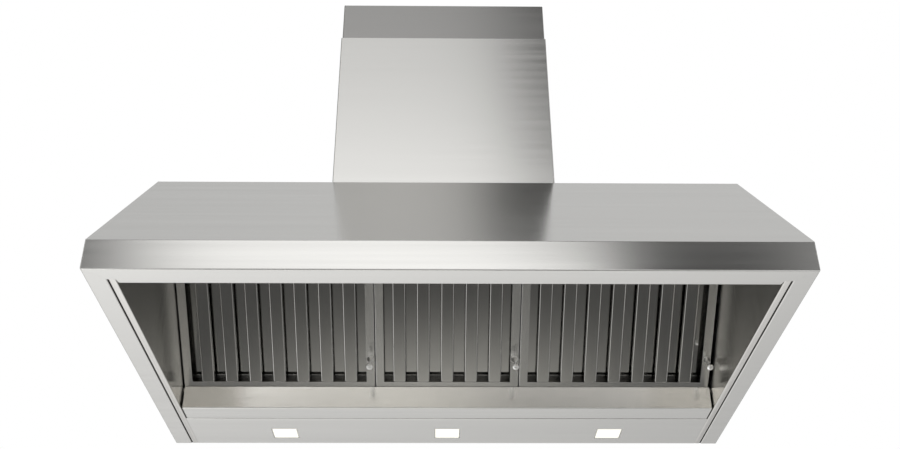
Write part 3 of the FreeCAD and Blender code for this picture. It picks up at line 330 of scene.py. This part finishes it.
def bent_line(corners, radius, steps=5):
    """The open line with an arc at each inner corner. A corner in line with its neighbours stays.

    An arc starts radius * tan(turn / 2) before its corner. Its points are that start, turned about
    the arc's centre by even shares of the turn.
    """
    along = np.diff(corners, axis=0)
    along /= np.linalg.norm(along, axis=1, keepdims=True)
    first, second = along[:-1], along[1:]
    turn = np.arctan2(first[:, 0] * second[:, 1] - first[:, 1] * second[:, 0], (first * second).sum(axis=1))
    radius = np.broadcast_to(radius, turn.shape)
    start = corners[1:-1] - first * (radius * np.tan(np.abs(turn) / 2))[:, None]
    inward = np.column_stack([-first[:, 1], first[:, 0]]) * (np.sign(turn) * radius)[:, None]
    share = turn[:, None] * np.linspace(0, 1, steps + 1)
    cos, sin = np.cos(share), np.sin(share)
    x, y = -inward[:, :1], -inward[:, 1:]
    arcs = (start + inward)[:, None, :] + np.stack([x * cos - y * sin, x * sin + y * cos], axis=-1)
    line = np.vstack([corners[:1], arcs.reshape(-1, 2), corners[-1:]])
    apart = np.linalg.norm(np.diff(line, axis=0), axis=1) > 1e-7
    return line[np.concatenate([[True], apart])]


def folded(face, sheet, side=1, inner=1.0 * MM):
    """Middle line of a folded sheet, from its outer face. `side` is 1 if the metal lies to its left."""
    return bent_line(shifted_line(np.array(face, float), side * sheet / 2), inner + sheet / 2)


def carried(line, axes, *stations):
    """Grid of a line carried through stations, each one number or one number for each point.

    `axes` names the axes of the line's two coordinates and of the travel, such as YZX.
    """
    travel = np.stack(np.broadcast_arrays(*stations, line[:, 0])[:-1], axis=-1)
    grid = np.empty(travel.shape + (3,))
    first, second, third = ("XYZ".index(letter) for letter in axes)
    grid[..., first], grid[..., second], grid[..., third] = line[:, :1], line[:, 1:], travel
    return grid


def add_mesh(name, grids, closed=False, skip=None):
    """A piece made of grids of points: neighbours along rows and columns make four-sided faces.

    `closed` joins each grid's last column to its first. `skip` marks faces that are left open.
    """
    points, faces, count = [], [], 0
    for grid in grids:
        index = np.arange(grid.shape[0] * grid.shape[1]).reshape(grid.shape[:2]) + count
        if closed:
            index = np.hstack([index, index[:, :1]])
        quads = np.stack([index[:-1, :-1], index[1:, :-1], index[1:, 1:], index[:-1, 1:]], axis=-1)
        faces.append(quads.reshape(-1, 4) if skip is None else quads[~skip])
        points.append(grid.reshape(-1, 3))
        count += index.max() - count + 1
    mesh = bpy.data.meshes.new(name)
    mesh.from_pydata(np.vstack(points).tolist(), [], np.vstack(faces).tolist())
    mesh.shade_smooth()
    piece = bpy.data.objects.new(name, mesh)
    bpy.context.scene.collection.objects.link(piece)
    return piece


def break_edges(piece, edge=0.25 * MM, segments=2):
    """Rounds the edges that turn by more than 35 degrees and evens out the shading."""
    bevel = piece.modifiers.new("broken_edges", "BEVEL")
    bevel.width, bevel.segments, bevel.limit_method = edge, segments, "ANGLE"
    bevel.angle_limit = math.radians(35)
    even = piece.modifiers.new("even_shading", "WEIGHTED_NORMAL")
    even.keep_sharp = True


def thicken(piece, sheet):
    """Gives a middle surface its thickness on both sides and breaks its cut edges."""
    wall = piece.modifiers.new("thickness", "SOLIDIFY")
    wall.thickness, wall.offset, wall.use_even_offset = sheet, 0.0, True
    break_edges(piece)


def stand_for(piece, *nodes):
    """Puts a detailed piece in the place of solids, with their body and the finish of their slot."""
    piece.data.materials.append(SLOT_MATERIALS[SLOT_OF[nodes[0]]])
    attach(piece, NODES[nodes[0]]["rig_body"])
    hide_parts(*nodes)


# %% [markdown]
# ## The canopy's front and roof
# One sheet makes the hem, the front lip, the fascia and the sloping roof. From inside out it turns
# down 9 mm at the hem, runs forward 48 mm as the lip, up as the fascia and back as the roof. The
# lip's ends are cut at 45 degrees to meet the side lips, and nicked by 4 mm at their inner corners.


# %% Canopy front, roof and top
def canopy_wrap():
    """The profile in Y and Z, carried along X. On the lip the end's X falls as much as Y grows."""
    fold_over = 3 * MM
    face = [(LIP_REAR, HEM), (LIP_REAR, 0), (LIP_FRONT + 0.02 * MM, 0), (LIP_FRONT, 0), (FRONT, 0),
            (FRONT, FASCIA_TOP), (ROOF_EDGE, TOP), (ROOF_EDGE + fold_over, TOP)]
    line = folded(face, SKIN_SHEET, side=-1)
    y, z = line.T
    mitre = np.minimum(HALF - (y - FRONT), WALL_X)
    nick = LINER_X - CORNER_NICK * np.clip((y - LIP_FRONT) / (LIP_REAR - LIP_FRONT), 0, 1)
    end = np.where(z > HEM, WALL_X, np.where(y > LIP_FRONT + 0.01 * MM, nick, mitre))
    wrap = add_mesh("canopy_wrap", [carried(line, "YZX", -end, end)])
    thicken(wrap, SKIN_SHEET)
    stand_for(wrap, "canopy_front", "canopy_roof")
    across = np.linalg.norm(np.diff(line, axis=0), axis=1).sum()
    print(f"canopy wrap: a blank {across:.3f} m by {2 * WALL_X:.3f} m")
    return ROOF_EDGE + fold_over


def top_sheet(front):
    """The flat top: each point lies between the duct hole's rim and the same ray's end on the outline.

    A ray at an angle ends where it first meets a side: at the least of dx / cos and dy / sin.
    """
    (low_x, low_y, _), (high_x, high_y, _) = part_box("duct_collar")
    centre = np.array([(low_x + high_x) / 2, (low_y + high_y) / 2])
    corners = np.array([(x, y) for x in (-WALL_X, WALL_X) for y in (front, 0.0)]) - centre
    angles = np.sort(np.concatenate([np.linspace(-math.pi, math.pi, 96, endpoint=False),
                                     np.arctan2(corners[:, 1], corners[:, 0])]))
    ray = np.stack([np.cos(angles), np.sin(angles)], axis=-1)
    sides = np.where(ray > 0, np.array([WALL_X, 0.0]), np.array([-WALL_X, front])) - centre
    reach = np.min(np.abs(sides) / np.maximum(np.abs(ray), 1e-9), axis=1)
    rings = np.stack([ray * DUCT_HOLE_RADIUS, ray * reach[:, None]]) + centre
    level = np.full(rings.shape[:2] + (1,), TOP - SKIN_SHEET / 2)
    sheet = add_mesh("canopy_top_sheet", [np.concatenate([rings, level], axis=-1)], closed=True)
    thicken(sheet, SKIN_SHEET)
    stand_for(sheet, "canopy_top")


top_sheet(canopy_wrap())

# %% [markdown]
# ## Side panels and side liners
# A side panel is the wall, its lip below and the lip's hem. The liner beside it starts with a flange
# inside that hem, makes the narrow strip of underside, and goes up as the inner wall. The 2.5 mm
# between the two is the dark seam along the hood's underside.


# %% Side panels and side liners
def side_sheet(name, node, face, sheet, front, rear, drop=0.0, metal=1):
    """A profile in X and Z, carried along Y with one station at the roof's upper edge.

    Its last point follows the roof, lower by `drop`. `front` gives each point's first station, and
    `metal` is 1 if the sheet lies to the left of its face's line.
    """
    line = folded(face, sheet, side=metal)
    grid = carried(line, "XZY", front(line[:, 0]), ROOF_EDGE, rear)
    grid[-1, :, 2] = roof_height(grid[-1, :, 1]) - drop
    for side, sign in (("left", -1), ("right", 1)):
        piece = add_mesh(f"{name}_{side}", [grid * (sign, 1, 1)])
        thicken(piece, sheet)
        stand_for(piece, f"{node}_{side}")
    print(f"{name}: {len(line)} points across, on both sides")


STRIP_X = LIP_X - SEAM_GAP
side_sheet("side_wall", "side_panel", [(LIP_X, HEM), (LIP_X, 0), (HALF, 0), (HALF, FASCIA_TOP)], SKIN_SHEET,
           lambda x: FRONT + np.maximum(HALF - x, 0), 0.0)
side_sheet("inner_wall", "side_liner",
           [(STRIP_X, STRIP_FLANGE), (STRIP_X, 0), (LINER_X, 0), (LINER_X, FASCIA_TOP)], THIN_SHEET,
           lambda x: LIP_FRONT + 0 * x, LINER_REAR, LINER_DROP, metal=-1)

# %% [markdown]
# ## The flue covers
# The lower cover is one sheet bent round three sides, with 15 mm returns along the wall. The upper
# one is the same without returns. It slides inside the lower one, so that its top reaches the ceiling.


# %% Flue covers
def flue_cover(name, node, returns):
    """A profile in X and Y, carried up along Z between the solid's lowest and highest level."""
    (left, front, low), (right, back, high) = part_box(node)
    face = [(left, back), (left, front), (right, front), (right, back)]
    if returns:
        face = [(left + returns, back), *face, (right - returns, back)]
    cover = add_mesh(name, [carried(folded(face, THIN_SHEET), "XYZ", low, high)])
    thicken(cover, THIN_SHEET)
    stand_for(cover, node)
    print(f"{name}: {right - left:.3f} m wide, from {low:.3f} m to {high:.3f} m")


flue_cover("flue_lower_cover", "flue_lower", 15 * MM)
flue_cover("flue_upper_cover", "flue_upper", 0.0)

# %% [markdown]
# ## The light panel
# The last strip of underside before the wall. Its front edge is folded up by a few millimetres, which
# stiffens it, and three square holes take the lamps. A sheet with holes is a grid with faces left out.


# %% Light panel
def light_panel():
    """The profile in Y and Z carried along X, with stations and points at the holes' edges."""
    (low_x, front, _), (high_x, rear, _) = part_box("light_panel")
    lenses = [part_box(f"lamp_lens_{name}") for name in ("left", "centre", "right")]
    gap, fold_up = 0.3 * MM, 3.5 * MM
    hole_y = (lenses[0][0][1] - gap, lenses[0][1][1] + gap)
    face = [(front, fold_up), (front, 0), (hole_y[0], 0), (hole_y[1], 0), (rear, 0)]
    edges = np.array([(low[0] - gap, high[0] + gap) for low, high in lenses]).ravel()
    stations = np.concatenate([[low_x], edges, [high_x]])
    line = folded(face, THIN_SHEET)
    grid = carried(line, "YZX", *stations)
    in_y = (line[:-1, 0] >= hole_y[0] - 1e-6) & (line[1:, 0] <= hole_y[1] + 1e-6)
    in_x = np.arange(len(stations) - 1) % 2 == 1
    panel = add_mesh("light_panel_sheet", [grid], skip=in_y[:, None] & in_x)
    thicken(panel, THIN_SHEET)
    stand_for(panel, "light_panel")
    print(f"light panel: {len(lenses)} holes of {1000 * (hole_y[1] - hole_y[0]):.1f} mm")


light_panel()

# %% [markdown]
# ## Lamp lenses
# A lens is a square of frosted plastic with rounded corners and a rounded rim, flush in its hole.


# %% Lamp lenses
def merged(piece, distance=0.01 * MM):
    """Joins points that coincide, which closes poles, and points every face outwards."""
    work = bmesh.new()
    work.from_mesh(piece.data)
    bmesh.ops.remove_doubles(work, verts=work.verts, dist=distance)
    bmesh.ops.recalc_face_normals(work, faces=work.faces)
    work.to_mesh(piece.data)
    work.free()


def rounded_square(half, corner, steps=6):
    """Closed outline of a square with round corners: four quarter arcs, each turned by 90 degrees."""
    angles = np.linspace(0, math.pi / 2, steps) + np.arange(4)[:, None] * math.pi / 2
    centres = (half - corner) * np.array([(1, 1), (-1, 1), (-1, -1), (1, -1)])
    arcs = centres[:, None, :] + corner * np.stack([np.cos(angles), np.sin(angles)], axis=-1)
    return arcs.reshape(-1, 2)


def lamp_lens(name):
    """Rings of the square outline, shrunk by the scale and at the height that the rim's round gives."""
    (x0, y0, z0), (x1, y1, z1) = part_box(f"lamp_lens_{name}")
    scale = np.array([0, 0.93, 0.975, 0.993, 1, 1, 0.98, 0])
    height = z0 + (z1 - z0) * np.array([0, 0, 0.04, 0.12, 0.3, 0.9, 1, 1])
    outline = rounded_square((x1 - x0) / 2, 3 * MM)
    flat = scale[:, None, None] * outline + np.array([(x0 + x1) / 2, (y0 + y1) / 2])
    levels = np.broadcast_to(height[:, None, None], flat.shape[:2] + (1,))
    lens = add_mesh(f"lens_{name}", [np.concatenate([flat, levels], axis=-1)], closed=True)
    merged(lens)
    stand_for(lens, f"lamp_lens_{name}")


for name in ("left", "centre", "right"):
    lamp_lens(name)
print("3 lenses")

# %% [markdown]
# ## Grease tray
# The tray is one folded trough with a welded plate at each end. Its front wall is the sloping band
# under the filters, and its floor is flush with the hood's underside.


# %% Grease tray
def grease_tray():
    """The trough's profile in Y and Z, carried along X, and the end plates as three-point strips."""
    (low_x, front, _), (high_x, rear, front_top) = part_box("grease_tray")
    rear_top, step_back = 26 * MM, 3 * MM
    face = [(rear, rear_top), (rear, 0), (front, 0), (front, front_top)]
    trough = add_mesh("tray_trough", [carried(folded(face, THIN_SHEET, side=-1), "YZX", low_x, high_x)])
    thicken(trough, THIN_SHEET)
    stand_for(trough, "grease_tray")
    y = np.array([front, front + step_back, rear])
    top = np.array([front_top, rear_top, rear_top])
    plates = [np.stack([np.stack([np.full(3, x), y, z], axis=-1) for z in (0.0 * top, top)])
              for x in (low_x - THIN_SHEET / 2, high_x + THIN_SHEET / 2)]
    ends = add_mesh("tray_end_plates", plates)
    thicken(ends, THIN_SHEET)
    stand_for(ends, "tray_ends")
    print(f"tray: {high_x - low_x:.3f} m long, front wall {1000 * front_top:.1f} mm")


grease_tray()

# %% [markdown]
# ## The filters
# A baffle filter is a frame of channel with two rows of folded channels in it. The front ones show
# their flat backs, and the rear ones lie behind the gaps, so that the air has to turn twice and
# throws its grease on the steel. The filters lie on a slope of 38 degrees, which climbs to the front.

# %% Places on the slope
SLOPE = math.radians(38)
SLOPE_FOOT_Y, SLOPE_FOOT_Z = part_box("grease_tray")[0][1] + 8 * MM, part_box("filter_1_frame")[0][2]
FILTER_LENGTH = (SLOPE_FOOT_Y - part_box("filter_1_frame")[0][1]) / math.cos(SLOPE)
FILTER_DEPTH = (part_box("filter_1_frame")[1][1] - SLOPE_FOOT_Y) / math.sin(SLOPE)
PITCH_ACROSS = 49.5 * MM
SIDE_STRIPS, END_STRIPS = (17.5 * MM, 5 * MM), (20 * MM, 25 * MM)      # the face's and the rear's
FRONT_BAFFLE = {"width": 26.5 * MM, "depths": (1 * MM, 10 * MM), "ends": (2 * MM, 2 * MM),
                "inner": 1.7 * MM}
REAR_BAFFLE = {"width": 36 * MM, "depths": (24 * MM, 12 * MM), "ends": (8.75 * MM, 27 * MM),
               "inner": 1.2 * MM}
print(f"filters {1000 * FILTER_LENGTH:.1f} mm long and {1000 * FILTER_DEPTH:.1f} mm deep")


def on_slope(across, up, out):
    """Points `up` the slope from the filters' lower edge and `out` behind their faces.

    Y is foot - up cos + out sin, and Z is foot + up sin + out cos.
    """
    y = SLOPE_FOOT_Y - up * math.cos(SLOPE) + out * math.sin(SLOPE)
    z = SLOPE_FOOT_Z + up * math.sin(SLOPE) + out * math.cos(SLOPE)
    return np.stack(np.broadcast_arrays(across, y, z), axis=-1)


# %% Filter frames
def filter_frame(number):
    """A channel carried round the filter, its corners mitred.

    Its profile is drawn twice, as inset and depth: once with the side strips' widths, which set the
    points' X, and once with the end strips' widths, which set how far up the slope they are.
    """
    (low, _, _), (high, _, _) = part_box(f"filter_{number}_frame")
    insets = []
    for face_strip, rear_strip in (SIDE_STRIPS, END_STRIPS):
        face = [(face_strip, 0), (0, 0), (0, FILTER_DEPTH), (rear_strip, FILTER_DEPTH)]
        insets.append(folded(face, THIN_SHEET, side=-1, inner=0.8 * MM))
    side, end = insets
    left, right = low + side[:, 0], high - side[:, 0]
    foot, head = end[:, 0], FILTER_LENGTH - end[:, 0]
    across, up = np.stack([left, right, right, left], axis=-1), np.stack([foot, foot, head, head], axis=-1)
    frame_piece = add_mesh(f"filter_{number}_channel", [on_slope(across, up, side[:, 1:])], closed=True)
    thicken(frame_piece, THIN_SHEET)
    stand_for(frame_piece, f"filter_{number}_frame")


# %% Baffles
def baffles(number, row, width, depths, ends, inner):
    """Channels in a row, each a profile of across and depth carried up the slope.

    `depths` are those of the flat and of the legs' tips, and `ends` how far the flat and the legs
    stay from the filter's ends.
    """
    node = f"filter_{number}_{row}_baffles"
    (low, _, _), (high, _, _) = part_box(node)
    count = 1 + round((high - low - width) / PITCH_ACROSS)
    flat, tip = depths
    face = [(-width / 2, tip), (-width / 2, flat), (width / 2, flat), (width / 2, tip)]
    line = folded(face, THIN_SHEET, side=1 if tip > flat else -1, inner=inner)
    legs = np.abs(line[:, 0]) > width / 2 - THIN_SHEET
    from_end = np.where(legs, ends[1], ends[0])
    up = np.stack([from_end, FILTER_LENGTH - from_end], axis=-1)
    centres = (low + high) / 2 + PITCH_ACROSS * (np.arange(count) - (count - 1) / 2)
    row_piece = add_mesh(f"filter_{number}_{row}_channels",
                         [on_slope(centre + line[:, :1], up, line[:, 1:]) for centre in centres])
    thicken(row_piece, THIN_SHEET)
    stand_for(row_piece, node)
    return count


for number in (1, 2, 3):
    filter_frame(number)
    shown = baffles(number, "front", **FRONT_BAFFLE)
    behind = baffles(number, "rear", **REAR_BAFFLE)
    print(f"filter {number}: {shown} baffles in front of {behind}")

# %% [markdown]
# ## Pull knobs
# Each filter is lifted by a turned and polished knob on its right-hand strip: a coned foot, a thin
# neck and a domed head. A turned piece is its half outline carried round the axis.


# %% Pull knobs
KNOB_UP = 73.5 * MM
KNOB_OUTLINE = [(0, 0), (7, 0), (7, 2), (2.4, 12), (2.4, 29), (6.5, 33), (6.5, 35), (3.2, 38), (0, 38)]
KNOB_CORNERS = [0.2, 0.8, 2.5, 2.5, 1.0, 0.9, 1.5]


def turned(line, steps=40):
    """Grid of a half outline, radius and height, carried once round its axis by cos and sin."""
    angle = np.linspace(0, 2 * math.pi, steps, endpoint=False)
    radius, height = line[:, :1], line[:, 1:]
    return radius * np.cos(angle), radius * np.sin(angle), height + 0 * angle


def pull_knob(number):
    """The outline is in radius and height, in mm from the strip's face, and its corners are rounded."""
    (left, _, _), (right, _, _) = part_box(f"filter_{number}_knob")
    outline = bent_line(np.array(KNOB_OUTLINE) * MM, np.array(KNOB_CORNERS) * MM, steps=4)
    x, y, height = turned(outline)
    grid = on_slope((left + right) / 2 + x, KNOB_UP + y, -height)
    knob = add_mesh(f"filter_{number}_pull", [grid], closed=True)
    merged(knob)
    stand_for(knob, f"filter_{number}_knob")


for number in (1, 2, 3):
    pull_knob(number)
print("3 knobs")

# %% [markdown]
# ## Light
# The studio is a room with a long soft light in front, above the camera. Steel shows hardly any
# colour of its own, so what it mirrors makes the picture. For mirrored rays the room has darker
# walls on both sides of that light, without which brushed steel looks like white paper. The world
# holds the room as a function of direction: each table below is a list of an angle in degrees and
# the brightness there. The camera itself sees plain white.


# %% World
SOFT_LIGHT = [(-60, 0.75), (-30, 0.2), (-19.5, 0.05), (-16.5, 0.85), (-13, 1.40), (0, 1.50), (8.9, 1.45),
              (11.6, 0.03), (19, 0.03), (22, 0.40), (60, 0.75)]       # in front, over azimuth
LIGHT_LEVEL = [(4, 0.45), (24, 1.0), (30.5, 1.0), (34, 0.68), (41, 0.43), (60, 0.45), (85, 0.8)]
LIGHT_BENT = (30, 34, 0.0, 5.3)               # the light stands this many degrees aside above 34
FRONT_BELOW = [(-90, 0.9), (-60, 0.9), (0, 0.65)]                     # over elevation
BACK_LEVEL = [(-90, 0.9), (-61, 1.6), (-40, 1.0), (-29, 0.98), (-21, 0.50), (-12, 0.62), (10, 0.53),
              (40, 0.53), (62, 0.66), (90, 0.7)]                      # over elevation
BACK_SLANT = [(-61, -1.4), (-30, -0.5), (10, 0.1)]                    # more light to the right, if > 0
EVEN_ROOM, PAPER = 0.30, 1.0


def curve_of(tree, value, points):
    """A smooth curve through (value, result) points: the sum of one smooth step from each to the next."""
    total = points[0][1]
    for (low, before), (high, after) in zip(points[:-1], points[1:]):
        total = maths(tree, "ADD", smooth_step(tree, value, low, high, 0.0, after - before), total)
    return total


def make_world():
    """Three rooms: paper for the camera, the studio for mirrored rays and an even room for the rest.

    Azimuth is 0 towards the front, -Y, and grows to the right. Elevation is 90 straight up.
    """
    world = bpy.data.worlds.new("studio")
    bpy.context.scene.world = world
    world.use_nodes = True
    tree = world.node_tree
    tree.nodes.clear()
    direction = add_node(tree, "ShaderNodeTexCoord").outputs["Generated"]
    x, y, z = add_node(tree, "ShaderNodeSeparateXYZ", Vector=direction).outputs[:3]
    towards = maths(tree, "MULTIPLY", y, -1.0)
    azimuth = maths(tree, "MULTIPLY", maths(tree, "ARCTAN2", x, towards), 180 / math.pi)
    turn = maths(tree, "ABSOLUTE", azimuth)
    elevation = maths(tree, "MULTIPLY", maths(tree, "ARCSINE", z), 180 / math.pi)
    bent = maths(tree, "ADD", azimuth, smooth_step(tree, elevation, *LIGHT_BENT))
    across, dimmer = curve_of(tree, bent, SOFT_LIGHT), curve_of(tree, elevation, LIGHT_LEVEL)
    low = curve_of(tree, elevation, FRONT_BELOW)
    front = add_node(tree, "ShaderNodeMix", {"data_type": "FLOAT"}, i0=smooth_step(tree, elevation, -12, 3),
                     i2=low, i3=maths(tree, "MULTIPLY", across, dimmer)).outputs[0]
    level = curve_of(tree, elevation, BACK_LEVEL)
    slant = maths(tree, "MULTIPLY", x, curve_of(tree, elevation, BACK_SLANT))
    back = maths(tree, "MULTIPLY", level, maths(tree, "ADD", slant, 1.0))
    behind = smooth_step(tree, turn, 70, 110)
    total = add_node(tree, "ShaderNodeMix", {"data_type": "FLOAT"}, i0=behind, i2=front, i3=back).outputs[0]
    rays = add_node(tree, "ShaderNodeLightPath").outputs
    mirrored = maths(tree, "MAXIMUM", rays["Is Glossy Ray"], rays["Is Transmission Ray"])
    studio = add_node(tree, "ShaderNodeBackground", Color=colour("#FFFFFF"), Strength=total)
    even = add_node(tree, "ShaderNodeBackground", Color=colour("#FFFFFF"), Strength=EVEN_ROOM)
    paper = add_node(tree, "ShaderNodeBackground", Color=colour("#FFFFFF"), Strength=PAPER)
    lit = add_node(tree, "ShaderNodeMixShader", i0=mirrored, i1=even.outputs[0], i2=studio.outputs[0])
    seen = add_node(tree, "ShaderNodeMixShader", i0=rays["Is Camera Ray"], i1=lit.outputs[0],
                    i2=paper.outputs[0])
    add_node(tree, "ShaderNodeOutputWorld", Surface=seen.outputs[0])


make_world()

# %% [markdown]
# ## Floor and lamplight
# The hood hangs well above the floor, so the floor lies below the camera. It is grey, with painted
# shade, a dark patch at its right by the wall that the steel mirrors, and fades out all round. The
# three lamps are lit: each throws a wide cone of light on the floor, which the filters mirror.
# Neither the floor nor the light is part of the object.


# %% Floor and lamplight
FLOOR_LEVEL, FLOOR_MIDDLE, FLOOR_REACH, FLOOR_FADE = -1.6, -0.9, 1.4, (1.1, 1.38)
# Painted shade on the floor: a dark patch at the right by the wall, which the steel mirrors, fades in
# between these X and Y
SHADE_PATCH_X, SHADE_PATCH_Y = (0.0, 0.25), (-0.35, -0.1)                   # it fades in between these
BEAM_WATTS, BEAM_COLOUR, BEAM_ANGLE = 85.0, (1.0, 0.985, 0.95), math.radians(56)


def make_floor():
    """A square sheet below everything, clear beyond a round middle in front of the wall."""
    level, middle, reach = FLOOR_LEVEL, FLOOR_MIDDLE, FLOOR_REACH
    mesh = bpy.data.meshes.new("floor")
    corners = [(x * reach, middle + y * reach, level) for x, y in ((-1, -1), (1, -1), (1, 1), (-1, 1))]
    mesh.from_pydata(corners, [], [(0, 1, 2, 3)])
    floor = bpy.data.objects.new("floor", mesh)
    bpy.context.scene.collection.objects.link(floor)
    material, tree, shader = new_material("grey_floor", Roughness=0.9)
    place = add_node(tree, "ShaderNodeTexCoord").outputs["Object"]
    x, y, _ = add_node(tree, "ShaderNodeSeparateXYZ", Vector=place).outputs[:3]
    # Painted shade: the floor turns dark grey in the patch at the right by the wall
    painted_shade = maths(tree, "MULTIPLY", smooth_step(tree, x, *SHADE_PATCH_X), smooth_step(tree, y, *SHADE_PATCH_Y))
    tone = add_node(tree, "ShaderNodeMix", {"data_type": "RGBA"}, i0=painted_shade, i6=colour("#A8A8A6"),
                    i7=colour("#4A4A4A"))
    tree.links.new(tone.outputs[2], shader.inputs["Base Color"])
    away = add_node(tree, "ShaderNodeVectorMath", {"operation": "DISTANCE"}, i0=place, i1=(0, middle, level))
    shown = smooth_step(tree, away.outputs["Value"], *FLOOR_FADE, 1.0, 0.0)
    tree.links.new(shown, shader.inputs["Alpha"])
    mesh.materials.append(material)


def lamp_beam(name):
    """A soft cone of light straight down from just under a lens."""
    (x0, y0, z0), (x1, y1, _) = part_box(f"lamp_lens_{name}")
    data = bpy.data.lights.new(f"beam_{name}", "SPOT")
    data.energy, data.color = BEAM_WATTS, BEAM_COLOUR
    data.spot_size, data.spot_blend, data.shadow_soft_size = BEAM_ANGLE, 1.0, 0.02
    beam = bpy.data.objects.new(f"beam_{name}", data)
    beam.location = ((x0 + x1) / 2, (y0 + y1) / 2, z0 - 3 * MM)
    bpy.context.scene.collection.objects.link(beam)


make_floor()
for name in ("left", "centre", "right"):
    lamp_beam(name)

# %% Colour handling
bpy.context.scene.view_settings.view_transform = "Standard"
